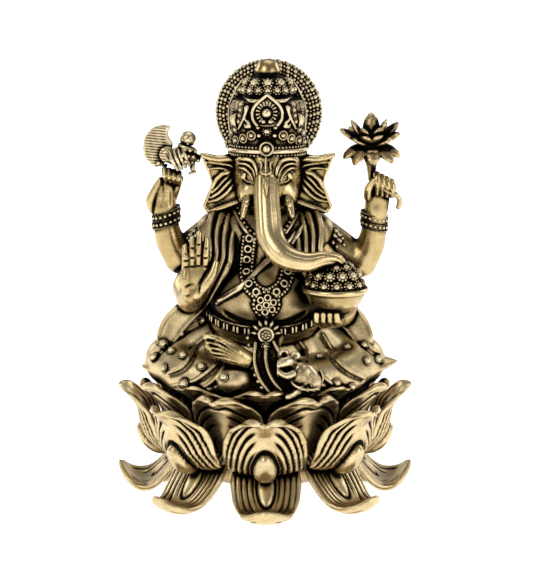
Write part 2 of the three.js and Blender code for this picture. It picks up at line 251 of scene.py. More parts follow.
def outline_distance(u, v, outline):
    """Signed distance in a plane to a closed outline, negative inside."""
    corners = np.asarray(outline, float)
    nearest = np.full(np.broadcast(u, v).shape, FAR * FAR)
    inside = np.zeros(nearest.shape, bool)
    for (u0, v0), (u1, v1) in zip(corners, np.roll(corners, -1, axis=0)):
        du, dv = u1 - u0, v1 - v0
        t = np.clip(((u - u0) * du + (v - v0) * dv) / max(du * du + dv * dv, 1e-9), 0, 1)
        nearest = np.minimum(nearest, (u - u0 - t * du) ** 2 + (v - v0 - t * dv) ** 2)
        if dv:
            crosses = ((v0 <= v) & (v < v1)) | ((v1 <= v) & (v < v0))
            inside ^= crosses & (u < u0 + (v - v0) / dv * du)
    return np.where(inside, -1, 1) * np.sqrt(nearest)


class Wax:
    """A block of wax round some CAD nodes."""

    def __init__(self, *nodes, room=2.5, cell=0.28):
        low, high = box_of(*nodes)
        self.cell = cell
        self.low = low - room
        counts = np.ceil((high + room - self.low) / cell).astype(int) + 1
        self.axes = [(self.low[k] + cell * np.arange(counts[k])).astype(np.float32) for k in range(3)]
        self.field = np.full(counts, FAR, np.float32)

    def window(self, low, high):
        """The part of the grid inside a box, as slices and as open coordinates."""
        slices = []
        for k in range(3):
            first = int(np.clip((low[k] - self.low[k]) / self.cell, 0, len(self.axes[k]) - 1))
            last = int(np.clip((high[k] - self.low[k]) / self.cell + 2, first + 1, len(self.axes[k])))
            slices.append(slice(first, last))
        x, y, z = (axis[part] for axis, part in zip(self.axes, slices))
        return tuple(slices), (x[:, None, None], y[None, :, None], z[None, None, :])

    def merge(self, where, part, blend, cut=False):
        old = self.field[where]
        self.field[where] = -smooth_min(-old, part, blend) if cut else smooth_min(old, part, blend)

    def egg(self, middle, radii, lean=0, blend=1.0, cut=False):
        """An ellipsoid, leaned about Y by degrees."""
        radii = np.broadcast_to(np.asarray(radii, float), 3)
        reach = radii.max() + blend + 3 * self.cell
        where, (x, y, z) = self.window(np.asarray(middle) - reach, np.asarray(middle) + reach)
        spin = Matrix.Rotation(math.radians(lean), 3, "Y")
        p = [x - middle[0], y - middle[1], z - middle[2]]
        q = [sum(spin[row][k] * p[row] for row in range(3)) for k in range(3)]
        near = np.sqrt(sum((q[k] / radii[k]) ** 2 for k in range(3)))
        steep = np.sqrt(sum((q[k] / radii[k] ** 2) ** 2 for k in range(3)))
        self.merge(where, (near * (near - 1) / np.maximum(steep, 1e-6)).astype(np.float32), blend, cut)

    def bar(self, points, radii, flat=1.0, facing=(0, -1, 0), blend=0.6, cut=False, step=0.8):
        """A round bar along a smooth curve. flat is its thickness towards facing over its width."""
        radii = np.broadcast_to(radii, len(points))
        path, widths = smooth_path(points, radii, step)
        reach = blend + 3 * self.cell
        low = path.min(0) - widths.max() - reach
        high = path.max(0) + widths.max() + reach
        where, _ = self.window(low, high)
        part = np.full(self.field[where].shape, FAR, np.float32)
        start = [s.start for s in where]
        for a, b, ra, rb in zip(path[:-1], path[1:], widths[:-1], widths[1:]):
            near = max(ra, rb) + reach
            inner, (x, y, z) = self.window(np.minimum(a, b) - near, np.maximum(a, b) + near)
            inner = tuple(slice(max(s.start - s0, 0), s.stop - s0) for s, s0 in zip(inner, start))
            run = b - a
            p = [x - a[0], y - a[1], z - a[2]]
            t = np.clip(sum(run[k] * p[k] for k in range(3)) / max(run @ run, 1e-9), 0, 1)
            q = [p[k] - t * run[k] for k in range(3)]
            square = sum(c * c for c in q)
            if flat != 1:
                out = unit(np.asarray(facing, float) - run * (run @ np.asarray(facing)) / max(run @ run, 1e-9))
                square = square + (flat**-2 - 1) * sum(out[k] * q[k] for k in range(3)) ** 2
            distance = np.sqrt(square) - (ra + t * (rb - ra))
            shape = part[inner].shape
            part[inner] = np.minimum(part[inner], distance[: shape[0], : shape[1], : shape[2]])
        self.merge(where, part, blend, cut)

    def plate(self, outline, y, half, blend=0.4, edge=0.3):
        """A plate whose outline lies in the XZ plane; y, a number or a formula of x and z, is its middle."""
        corners = np.asarray(outline, float)
        (u0, v0), (u1, v1) = corners.min(0) - 2, corners.max(0) + 2
        where, (px, py, pz) = self.window((u0, -FAR, v0), (u1, FAR, v1))
        flat = outline_distance(px[:, 0, :], pz[0, 0, :][None, :], corners)[:, None, :] + edge
        middle = y(px, pz) if callable(y) else y
        thick = np.abs(py - middle) - half + edge
        outside = np.sqrt(np.maximum(flat, 0) ** 2 + np.maximum(thick, 0) ** 2)
        part = outside + np.minimum(np.maximum(flat, thick), 0) - edge
        self.merge(where, part.astype(np.float32), blend)

    def turned(self, profile, middle, squash=1.0, blend=0.4):
        """A turned shape about the vertical through middle, from a [radius, height] outline."""
        corners = np.asarray(profile, float)
        mirrored = np.vstack([corners, corners[::-1] * (-1, 1)])
        where, (x, y, z) = self.window((-FAR, -FAR, corners[:, 1].min() - 3), (FAR, FAR, corners[:, 1].max() + 3))
        radius = np.sqrt((x - middle[0]) ** 2 + ((y - middle[1]) / squash) ** 2)
        self.merge(where, outline_distance(radius, z, mirrored).astype(np.float32), blend)

    def press(self, depth):
        """Raises or sinks the surface by a formula of the place, in millimetres outward."""
        x, y, z = self.window((-4 * FAR,) * 3, (4 * FAR,) * 3)[1]
        self.field -= depth(x, y, z).astype(np.float32)

    def sample(self, points):
        """The field at some points, by linear interpolation."""
        return between_cells(self.field, (np.asarray(points) - self.low) / self.cell)

    def touch(self, starts, towards=(0, 1, 0), sink=0.0):
        """Where rays from the starts first meet the wax, sunk into it by a little."""
        starts = np.atleast_2d(np.asarray(starts, float))
        towards = unit(towards)
        steps = np.arange(0, RAY, self.cell * 0.6)
        values = self.sample(starts[:, None, :] + steps[None, :, None] * towards)
        hit = values < 0
        first = np.where(hit.any(1), hit.argmax(1), 0)
        rows = np.arange(len(starts))
        before = values[rows, np.maximum(first - 1, 0)]
        share = before / np.maximum(before - values[rows, first], 1e-6)
        depth = steps[np.maximum(first - 1, 0)] + share * self.cell * 0.6
        # A ray that passes by takes the place where it comes nearest.
        depth = np.where(hit.any(1), depth, steps[values.argmin(1)])
        return starts + (depth + sink)[:, None] * towards

    def front(self, places, out=0.0):
        """The points on the front of the wax at some (x, z) places, moved out towards the viewer."""
        places = np.atleast_2d(places)
        starts = np.column_stack([places[:, 0], np.full(len(places), self.low[1]), places[:, 1]])
        return self.touch(starts, sink=-out)

    def normals(self, points):
        points = np.asarray(points, float)
        slope = [self.sample(points + d) - self.sample(points - d) for d in np.eye(3) * self.cell * 1.5]
        return unit(np.stack(slope, -1))

    def cast(self, name, finish, *nodes, stain=0.0):
        """The wax as a finished mesh piece that stands for the CAD nodes."""
        grid = openvdb.FloatGrid(FAR)
        grid.copyFromArray(self.field)
        points, triangles, quads = grid.convertToPolygons(0.0, 0.0)
        mesh = bpy.data.meshes.new(name)
        corners = points * self.cell + self.low
        faces = [list(face) for face in triangles] + [list(face) for face in quads]
        mesh.from_pydata((corners * MM).tolist(), [], faces)
        if signed_volume(mesh) < 0:
            mesh.flip_normals()
        BLOCKS[name] = self
        return finish_piece(mesh, name, finish, *nodes, stain=stain)


def signed_volume(mesh):
    mesh.calc_loop_triangles()
    index = read(mesh.loop_triangles, "vertices", kind=np.int32)
    a, b, c = read(mesh.vertices, "co")[index].transpose(1, 0, 2).astype(float)
    return float(np.einsum("ij,ij->i", a, np.cross(b, c)).sum() / 6)


def finish_piece(mesh, name, finish, *nodes, stain=0.0):
    """Makes a mesh a piece of the figure: smooth shaded, in its metal, riding on the one body."""
    mesh.shade_smooth()
    mesh.materials.clear()
    mesh.materials.append(brass(*METALS[finish]))
    piece = bpy.data.objects.new(f"{name}_brass", mesh)
    bpy.context.scene.collection.objects.link(piece)
    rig.ride(piece, "root")
    if nodes:
        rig.replaces(piece, *nodes)
    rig.slot(piece, finish)
    PIECES.append(piece)
    STAINS[piece.name] = stain
    return piece


# ---------------------------------------------------------------------------------------------------------------
# Node trees.


def node(tree, kind, inputs=None, **settings):
    """Adds a node with its settings. inputs gives a socket, by name or number, a value or another's output."""
    made = tree.nodes.new(kind)
    for key, value in settings.items():
        setattr(made, key, value)
    for key, value in (inputs or {}).items():
        if isinstance(value, bpy.types.NodeSocket):
            tree.links.new(value, made.inputs[key])
        else:
            made.inputs[key].default_value = value
    return made


def linear(hex_colour):
    """An sRGB hex colour as linear RGBA."""
    values = [int(hex_colour[k : k + 2], 16) / 255 for k in (1, 3, 5)]
    return [v / 12.92 if v <= 0.04045 else ((v + 0.055) / 1.055) ** 2.4 for v in values] + [1.0]


BLACKENED = "#0d0a06"  # brass under the sulphide wash


def new_tree(name, inputs):
    """An empty geometry tree for a modifier and the outputs of its inputs, given as name: (socket type, value)."""
    tree = bpy.data.node_groups.new(name, "GeometryNodeTree")
    tree.is_modifier = True
    tree.interface.new_socket("Geometry", in_out="INPUT", socket_type="NodeSocketGeometry")
    for key, (kind, value) in inputs.items():
        socket = tree.interface.new_socket(key, in_out="INPUT", socket_type=kind)
        if value is not None:
            socket.default_value = value
    tree.interface.new_socket("Geometry", in_out="OUTPUT", socket_type="NodeSocketGeometry")
    return tree, node(tree, "NodeGroupInput").outputs


def end_tree(tree, placed, material):
    """Makes the placed instances real, gives them their metal and closes the tree."""
    real = node(tree, "GeometryNodeRealizeInstances", {0: placed}).outputs[0]
    done = node(tree, "GeometryNodeSetMaterial", {"Geometry": real, "Material": material}).outputs[0]
    node(tree, "NodeGroupOutput", {0: done})
    return tree


def brass(name, bright, satin, roughness, grain, pits):
    """Antique brass: cast in sand-fine investment, blackened with a sulphide wash, then rubbed back.

    bright is the colour of the rubbed relief, satin that of the metal just off it. grain is the width of the
    cast grain in millimetres, and pits how deep it shows.
    """
    if name in bpy.data.materials:
        return bpy.data.materials[name]
    material = bpy.data.materials.new(name)
    material.use_nodes = True
    tree = material.node_tree
    tree.nodes.clear()
    place = node(tree, "ShaderNodeTexCoord").outputs["Object"]
    per_mm = 1 / MM
    wash = node(tree, "ShaderNodeAttribute", attribute_name="patina").outputs["Fac"]
    cloud, fine = (node(tree, "ShaderNodeTexNoise", {"Vector": place, "Scale": per_mm / width, "Detail": detail})
                   .outputs["Fac"] for width, detail in ((2.6, 4.0), (grain, 3.0)))
    # The wash clings unevenly: the cloud shifts it by a little, and the grain's own pits hold some.
    shifted = node(tree, "ShaderNodeMath", {0: cloud, 1: 0.3, 2: wash}, operation="MULTIPLY_ADD").outputs[0]
    pitted = node(tree, "ShaderNodeMath", {0: fine, 1: pits, 2: shifted}, operation="MULTIPLY_ADD").outputs[0]
    level = 0.15 + pits / 2
    black, worn = (node(tree, "ShaderNodeMapRange", {"Value": pitted, "From Min": level + a, "From Max": level + b},
                        interpolation_type="SMOOTHSTEP").outputs[0] for a, b in ((0.14, 0.52), (-0.12, 0.2)))
    metal = node(tree, "ShaderNodeMix", {0: worn, 6: linear(bright), 7: linear(satin)}, data_type="RGBA")
    colour = node(tree, "ShaderNodeMix", {0: black, 6: metal.outputs[2], 7: linear(BLACKENED)}, data_type="RGBA")
    rough = node(tree, "ShaderNodeMapRange", {"Value": black, "To Min": roughness, "To Max": 0.62}).outputs[0]
    varied = node(tree, "ShaderNodeMath", {0: fine, 1: 0.16, 2: rough}, operation="MULTIPLY_ADD").outputs[0]
    bump = node(tree, "ShaderNodeBump", {"Height": fine, "Distance": 0.05 * MM, "Strength": 0.25 + pits})
    shader = node(tree, "ShaderNodeBsdfPrincipled", {"Base Color": colour.outputs[2], "Metallic": 1.0,
                  "Roughness": varied, "Normal": bump.outputs["Normal"]})
    node(tree, "ShaderNodeOutputMaterial", {"Surface": shader.outputs["BSDF"]})
    return material


# Skin is burnished after casting, so it is the smoothest; cloth keeps the grain of the mould.
METALS = {  # slot: material name, bright, satin, roughness, grain, pits
    "polished_brass": ("antique brass, burnished skin", "#d6c093", "#a48e60", 0.17, 0.45, 0.07),
    "cloth_brass": ("antique brass, grained cloth", "#d2be93", "#98845e", 0.28, 0.32, 0.42),
    "jewel_brass": ("antique brass, rubbed beadwork", "#e0d0ac", "#a08d69", 0.22, 0.4, 0.18),
    "lotus_brass": ("antique brass, rubbed petals", "#d6c398", "#a18960", 0.24, 0.38, 0.26),
}


# ---------------------------------------------------------------------------------------------------------------
# Jewels: beads, rosettes and collets set by Geometry Nodes on points that carry a facing and a size.

JEWEL_INPUTS = {
    "Material": ("NodeSocketMaterial", None),
    "Dome": ("NodeSocketFloat", 1.0),
    "Height": ("NodeSocketFloat", 0.8),
    "Petals": ("NodeSocketInt", 0),
    "Petal size": ("NodeSocketFloat", 0.3),
    "Petal circle": ("NodeSocketFloat", 1.0),
    "Petal length": ("NodeSocketFloat", 1.0),
    "Collet": ("NodeSocketFloat", 0.0),
    "Collet wire": ("NodeSocketFloat", 0.16),
}


def jewel_tree():
    """Sets one jewel on every point: a dome, with petals round it and a round collet where they are asked for."""
    name = "Set jewels"
    if name in bpy.data.node_groups:
        return bpy.data.node_groups[name]
    tree, given = new_tree(name, JEWEL_INPUTS)
    tall = node(tree, "ShaderNodeCombineXYZ", {0: 1.0, 1: 1.0, 2: given["Height"]}).outputs[0]
    dome = node(tree, "GeometryNodeMeshUVSphere", {"Segments": 9, "Rings": 6, "Radius": given["Dome"]})
    dome = node(tree, "GeometryNodeTransform", {"Geometry": dome.outputs[0], "Scale": tall}).outputs[0]
    seed = node(tree, "GeometryNodeMeshUVSphere", {"Segments": 7, "Rings": 5, "Radius": given["Petal size"]})
    long = node(tree, "ShaderNodeCombineXYZ", {0: given["Petal length"], 1: 1.0, 2: 0.9}).outputs[0]
    seed = node(tree, "GeometryNodeTransform", {"Geometry": seed.outputs[0], "Scale": long}).outputs[0]
    number = node(tree, "ShaderNodeMath", {0: given["Petals"], 1: 3.0}, operation="MAXIMUM").outputs[0]
    ring = node(tree, "GeometryNodeMeshCircle", {"Vertices": number, "Radius": given["Petal circle"]}).outputs[0]
    turn = node(tree, "FunctionNodeAlignRotationToVector",
                {"Vector": node(tree, "GeometryNodeInputPosition").outputs[0]}, axis="X").outputs[0]
    petals = node(tree, "GeometryNodeInstanceOnPoints", {"Points": ring, "Instance": seed, "Rotation": turn})
    asked = node(tree, "FunctionNodeCompare", {"A": given["Petals"], "B": 0}, data_type="INT").outputs[0]
    petals = node(tree, "GeometryNodeSwitch", {"Switch": asked, "True": petals.outputs[0]}).outputs[0]
    rail, wire = (node(tree, "GeometryNodeCurvePrimitiveCircle", {"Resolution": corners, "Radius": given[key]})
                  .outputs[0] for key, corners in (("Collet", 16), ("Collet wire", 6)))
    collet = node(tree, "GeometryNodeCurveToMesh", {"Curve": rail, "Profile Curve": wire}).outputs[0]
    asked = node(tree, "FunctionNodeCompare", {"A": given["Collet"], "B": 0.0}, data_type="FLOAT").outputs[0]
    collet = node(tree, "GeometryNodeSwitch", {"Switch": asked, "True": collet}).outputs[0]
    whole = node(tree, "GeometryNodeJoinGeometry")
    for part in (dome, petals, collet):
        tree.links.new(part, whole.inputs[0])
    facing = node(tree, "GeometryNodeInputNamedAttribute", {"Name": "facing"}, data_type="FLOAT_VECTOR").outputs[0]
    size = node(tree, "GeometryNodeInputNamedAttribute", {"Name": "size"}, data_type="FLOAT").outputs[0]
    aim = node(tree, "FunctionNodeAlignRotationToVector", {"Vector": facing}, axis="Z").outputs[0]
    points = node(tree, "GeometryNodeMeshToPoints", {"Mesh": given["Geometry"]}).outputs[0]
    placed = node(tree, "GeometryNodeInstanceOnPoints",
                  {"Points": points, "Instance": whole.outputs[0], "Rotation": aim, "Scale": size}).outputs[0]
    return end_tree(tree, placed, given["Material"])


def run_tree(points_mesh, tree, values):
    """A mesh made by a node tree from a carrier mesh. Its inputs are set before it is first evaluated."""
    carrier = bpy.data.objects.new("carrier", points_mesh)
    bpy.context.scene.collection.objects.link(carrier)
    modifier = carrier.modifiers.new("Made", "NODES")
    modifier.node_group = tree
    for item in tree.interface.items_tree:
        if item.in_out == "INPUT" and item.name in values:
            modifier[item.identifier] = values[item.name]
    shown = carrier.evaluated_get(bpy.context.evaluated_depsgraph_get())
    mesh = bpy.data.meshes.new_from_object(shown)
    carrier.modifiers.remove(modifier)
    bpy.data.objects.remove(carrier)
    return mesh


class Jewels:
    """Groups of jewels that become one mesh piece."""

    def __init__(self):
        self.meshes = []

    def set(self, points, facings, sizes, **kind):
        points = np.atleast_2d(points)
        facings = np.broadcast_to(np.asarray(facings, float), points.shape)
        sizes = np.broadcast_to(np.asarray(sizes, float), len(points))
        mesh = bpy.data.meshes.new("settings")
        mesh.from_pydata((points * MM).tolist(), [], [])
        mesh.attributes.new("facing", "FLOAT_VECTOR", "POINT").data.foreach_set("vector", facings.ravel())
        write_values(mesh, "size", sizes * MM)
        values = {key.replace("_", " ").capitalize(): value for key, value in kind.items()}
        self.meshes.append(run_tree(mesh, jewel_tree(), values))
        return self

    def lay(self, wax, points, sizes, sink=-0.05, **kind):
        """Sets jewels on a wax surface at points that lie on it, pressed in by a share of their size."""
        points = np.atleast_2d(points)
        facings = wax.normals(points)
        sizes = np.broadcast_to(np.asarray(sizes, float), len(points))
        return self.set(points - facings * (sizes * sink)[:, None], facings, sizes, **kind)

    def piece(self, name, finish, *nodes, stain=-0.12):
        return finish_piece(join_meshes(self.meshes, name), name, finish, *nodes, stain=stain)


def join_meshes(meshes, name):
    """Several meshes as one."""
    corners, faces, start = [], [], 0
    for mesh in meshes:
        corners.append(read(mesh.vertices, "co"))
        faces += [[start + i for i in polygon.vertices] for polygon in mesh.polygons]
        start += len(mesh.vertices)
    whole = bpy.data.meshes.new(name)
    whole.from_pydata(np.vstack(corners).tolist(), [], faces)
    return whole


def along(path, spacing):
    """Points at an even spacing along a path of points."""
    path = np.asarray(path, float)
    lengths = lengths_along(path)
    count = max(2, int(round(lengths[-1] / spacing)) + 1)
    at = np.linspace(0, lengths[-1], count)
    return np.column_stack([np.interp(at, lengths, path[:, k]) for k in range(path.shape[1])])


def curve2(points, step=0.3):
    """A smooth (x, z) curve through a few places."""
    points = np.asarray(points, float)
    path, _ = smooth_path(np.column_stack([points, np.zeros(len(points))]), np.zeros(len(points)), step)
    return path[:, :2]


# ---------------------------------------------------------------------------------------------------------------
# The lotus.

PETALS_PER_RING = 8
# How wide a petal is from root to tip, as shares of its length and of its half width.
STANDING = [(0, 0.46), (0.1, 0.68), (0.26, 0.92), (0.45, 1), (0.62, 0.98), (0.78, 0.84), (0.89, 0.6), (0.96, 0.32),
            (1, 0)]
LYING = [(0, 0.74), (0.14, 0.9), (0.34, 1), (0.54, 0.93), (0.74, 0.74), (0.88, 0.48), (0.96, 0.26), (1, 0)]


class Petal:
    """The rule of one petal: a curled sheet along a profile, with a boss and arched grooves round it.

    cup is how far the long edges curl, and lift which way, as (inward, up). boss is (share of the length, size,
    height); arches are the distances of the grooves from it. shoulder raises the sheet on both sides of the tip.
    """

    def __init__(self, profile, half_width, cup, lift, boss, arches, wall=1.5, shoulder=0.0, outline=STANDING):
        self.profile, self.half_width, self.cup, self.lift = profile, half_width, cup, lift
        self.boss, self.arches, self.wall, self.shoulder = boss, arches, wall, shoulder
        self.outline = np.array(outline).T

    def middle(self, s, t):
        """The middle of the sheet at s, from edge (-1) to edge (1), and t, from root (0) to tip (1)."""
        path = curve2(self.profile, 0.2)
        lengths = lengths_along(path)
        at = t * lengths[-1]
        radius, height = np.interp(at, lengths, path[:, 0]), np.interp(at, lengths, path[:, 1])
        width = self.half_width * np.interp(t, *self.outline)
        bend = self.cup * s**2 * np.sin(np.pi * (0.1 + 0.86 * t))
        rise = self.shoulder * np.exp(-(((np.abs(s) - 0.5) / 0.36) ** 2)) * np.exp(-(((t - 0.88) / 0.1) ** 2))
        return np.stack([s * width, -(radius + bend * self.lift[0]), height + bend * self.lift[1] + rise], -1)

    def relief(self, s, t):
        """How far the worked face stands out from the plain sheet, and how much of that is groove."""
        boss_t, boss_size, boss_height = self.boss
        width = self.half_width * np.interp(t, *self.outline)
        beyond = (t - boss_t) * self.half_width * 2
        across = np.abs(s) * width
        away = np.hypot(across, 0.66 * np.maximum(beyond, 0))
        groove = np.zeros_like(s)
        for k, distance in enumerate(self.arches):
            # Every arch but the outermost dies out over the middle of the petal.
            shown = np.clip((across - 1.4) / 1.6, 0, 1) if k < len(self.arches) - 1 else 1
            groove += shown * np.clip((0.97 - t) / 0.05, 0, 1) * np.exp(-(((away - distance) / 0.24) ** 2))
        height = np.zeros_like(s)
        if boss_height:
            out = np.hypot(across, beyond * 0.6) / boss_size
            groove += np.exp(-(((out - 1.14) / 0.13) ** 2))
            height += boss_height * np.sqrt(np.clip(1 - out**2, 0, 1))
        return height - GROOVE_DEPTH * groove, groove

    def sheet(self, worked, rows, columns):
        """The petal facing the front as a closed mesh. worked is 1 for relief on the outer face, else -1."""
        s, t = np.meshgrid(np.linspace(-1, 1, columns), np.linspace(0, 1, rows) ** 0.92)  # closer rows at the tip
        middle = self.middle(s, t)
        across, up = np.gradient(middle, axis=1), np.gradient(middle, axis=0)
        up[-1], across[-1] = up[-2], across[-2]
        normal = unit(np.cross(across, up))
        normal *= np.where(normal[..., 1:2].mean() > 0, -1, 1)
        half = self.wall / 2 * np.sqrt(np.clip(1 - np.abs(s) ** 5, 0, 1)) * np.sqrt(np.clip(1 - t**14, 0, 1))
        reliefs, groove = self.relief(s, t)
        reliefs = reliefs * np.clip(half / self.wall * 2.4, 0, 1)
        shown, faint = (1, 0.35) if worked > 0 else (0.35, 1)
        front = middle + normal * (half + shown * reliefs)[..., None]
        back = middle - normal * (half + faint * reliefs)[..., None]
        index = np.arange(rows * columns).reshape(rows, columns)
        quads = np.stack([index[:-1, :-1], index[:-1, 1:], index[1:, 1:], index[1:, :-1]], -1).reshape(-1, 4)
        other = quads[:, ::-1] + rows * columns
        rim = np.concatenate([index[0, :], index[1:, -1], index[-1, -2::-1], index[-2:0:-1, 0]])
        step = np.roll(rim, -1)
        skirt = np.stack([step, rim, rim + rows * columns, step + rows * columns], -1)
        corners = np.vstack([front.reshape(-1, 3), back.reshape(-1, 3)])
        mesh = bpy.data.meshes.new("petal")
        mesh.from_pydata((corners * MM).tolist(), [], np.vstack([quads, other, skirt]).tolist())
        write_values(mesh, "groove", [groove, groove])
        tidy_mesh(mesh)
        return mesh


def tidy_mesh(mesh):
    """Merges doubled corners, drops flattened faces and turns the faces outward."""
    gap = 0.004 * MM
    shape = bmesh.new()
    shape.from_mesh(mesh)
    bmesh.ops.remove_doubles(shape, verts=shape.verts, dist=gap)
    bmesh.ops.dissolve_degenerate(shape, edges=shape.edges, dist=gap)
    bmesh.ops.recalc_face_normals(shape, faces=shape.faces)
    shape.to_mesh(mesh)
    shape.free()


RING_INPUTS = {
    "Count": ("NodeSocketInt", 1),
    "First angle": ("NodeSocketFloat", 0.0),
    "Unevenness": ("NodeSocketFloat", 0.0),
    "Seed": ("NodeSocketInt", 0),
    "Material": ("NodeSocketMaterial", None),
}


def ring_tree():
    """Repeats a petal evenly round the upright axis."""
    name = "Ring of petals"
    if name in bpy.data.node_groups:
        return bpy.data.node_groups[name]
    tree, given = new_tree(name, RING_INPUTS)
    points = node(tree, "GeometryNodePoints", {"Count": given["Count"]}).outputs[0]
    share = node(tree, "ShaderNodeMath", {0: 2 * math.pi, 1: given["Count"]}, operation="DIVIDE").outputs[0]
    number = node(tree, "GeometryNodeInputIndex").outputs[0]
    angle = node(tree, "ShaderNodeMath", {0: number, 1: share, 2: given["First angle"]},
                 operation="MULTIPLY_ADD").outputs[0]
    least = node(tree, "ShaderNodeMath", {0: given["Unevenness"], 1: -1.0}, operation="MULTIPLY").outputs[0]
    wobble = node(tree, "FunctionNodeRandomValue", {2: least, 3: given["Unevenness"], "Seed": given["Seed"]},
                  data_type="FLOAT").outputs[1]
    angle = node(tree, "ShaderNodeMath", {0: angle, 1: wobble}, operation="ADD").outputs[0]
    turn = node(tree, "ShaderNodeCombineXYZ", {2: angle}).outputs[0]
    turn = node(tree, "FunctionNodeEulerToRotation", {0: turn}).outputs[0]
    placed = node(tree, "GeometryNodeInstanceOnPoints",
                  {"Points": points, "Instance": given["Geometry"], "Rotation": turn}).outputs[0]
    return end_tree(tree, placed, given["Material"])


def petal_ring(name, petal, worked, first_angle, nodes, seed, lift=0.0, steps=(48, 46), stain=0.0, roll=0.0):
    """A ring of petals as one piece. steps are the rows and columns of a petal's sheet."""
    values = {"Count": PETALS_PER_RING, "First angle": first_angle, "Unevenness": 0.012, "Seed": seed,
              "Material": brass(*METALS["lotus_brass"])}
    mesh = run_tree(petal.sheet(worked, *steps), ring_tree(), values)
    if lift:
        lift_sides(mesh, lift, roll)
    return finish_piece(mesh, name, "lotus_brass", *nodes, stain=stain)


def lift_sides(mesh, lift, roll):
    """Raises the tips of the petals that point sideways or back, and rolls those at the sides forward."""
    place = read(mesh.vertices, "co")
    x, y = place[:, 0], place[:, 1]
    radius = np.hypot(x, y)
    aside = np.clip(0.5 + 0.9 * y / radius + 0.5 * np.abs(x) / radius, 0, 1)
    place[:, 2] += lift * MM * aside * np.clip((radius / MM - 28) / 7, 0, 1) ** 2
    sideways = np.clip((np.abs(x) / radius - 0.8) / 0.17, 0, 1) * np.clip((radius / MM - 19) / 8, 0, 1)
    place[:, 2] += roll * sideways * y
    mesh.vertices.foreach_set("co", place.ravel())


def turned_mesh(name, profile, at, steps=96):
    """A turned mesh from a [radius, height] profile that starts and ends on the axis."""
    profile = np.asarray(profile, float)
    angles = turns(steps)
    rings = profile[1:-1]
    x = at[0] + rings[:, :1] * np.cos(angles)
    y = at[1] + rings[:, :1] * np.sin(angles)
    corners = np.stack([x, y, np.broadcast_to(rings[:, 1:], x.shape)], -1).reshape(-1, 3)
    corners = np.vstack([corners, [[at[0], at[1], profile[0, 1]], [at[0], at[1], profile[-1, 1]]]])
    index = np.arange(len(rings) * steps).reshape(len(rings), steps)
    after = np.roll(index, -1, axis=1)
    quads = np.stack([index[:-1], after[:-1], after[1:], index[1:]], -1).reshape(-1, 4).tolist()
    foot, top = len(corners) - 2, len(corners) - 1
    caps = [[foot, b, a] for a, b in zip(index[0], after[0])] + [[top, a, b] for a, b in zip(index[-1], after[-1])]
    mesh = bpy.data.meshes.new(name)
    mesh.from_pydata((corners * MM).tolist(), [], quads + [[int(i) for i in cap] for cap in caps])
    tidy_mesh(mesh)
    return mesh


class FIGURE_OT_lotus(bpy.types.Operator):
    """Makes the lotus: its core and its four rings of petals"""

    bl_idname = "figure.lotus"
    bl_label = "Lotus"

    def execute(self, context):
        seat = box_of("lotus_core")[1][2]
        profile = [(0, 18), (10, 17), (14.6, 13), (14.4, 5.4), (16.2, 5), (18, 7), (18.2, 12), (20.6, 16.5),
                   (21, 22), (20, seat - 0.8), (19.4, seat - 0.1), (18.6, seat), (0, seat)]
        finish_piece(turned_mesh("lotus_core", profile, (0, 0)), "lotus_core", "lotus_brass", "lotus_core")
        edge = -box_of("upper_petal_1")[0][1]
        lower, upper, middle = ([f"{ring}_petal_{k + 1}" for k in range(PETALS_PER_RING)]
                                for ring in ("lower", "upper", "middle"))
        between = math.pi / PETALS_PER_RING
        fine = (74, 70)
        petal = Petal([(17.4, 12.4), (21.2, 7.0), (25.0, 2.7), (28.0, 1.2), (31.6, 1.9), (edge, 4.3)],
                      8.0, 1.6, (0, 1), (0.36, 1.9, 1.9), [3.0, 4.3, 5.6, 6.9], wall=2.2, outline=LYING)
        petal_ring("lower_petals", petal, -1, 0, lower, 3, lift=2.6, steps=fine, stain=-0.13, roll=0.13)
        petal = Petal([(20.2, 9.8), (24.8, 10.8), (28.0, 14.2), (28.9, 17.6), (29.8, 20.6), (edge, 23.4)],
                      9.5, 3.8, (-1, 0), (0.3, 2.5, 1.9), [3.6, 4.9, 6.2, 7.5, 8.6], shoulder=1.7)
        petal_ring("upper_petals", petal, 1, 0, upper, 5, lift=1.8, steps=fine, stain=-0.16)
        petal = Petal([(21, 14), (23.4, 17.5), (24.6, 21.4), (27, 25), (30.6, 27)],
                      8.6, 3.4, (-1, 0.1), (0.1, 0, 0), [2.6, 4.6, 6.4, 8.0], shoulder=1.5)
        petal_ring("middle_petals", petal, 1, between, middle, 7)
        petal = Petal([(19.4, 20.4), (21.2, 23.6), (23, 26), (26.6, 28.2)],
                      8.2, 2.6, (-0.9, 0.2), (0.1, 0, 0), [3.0, 5.2, 7.0], shoulder=1.0)
        petal_ring("inner_petals", petal, 1, 0, ["inner_petal_ring"], 9)
        return DONE


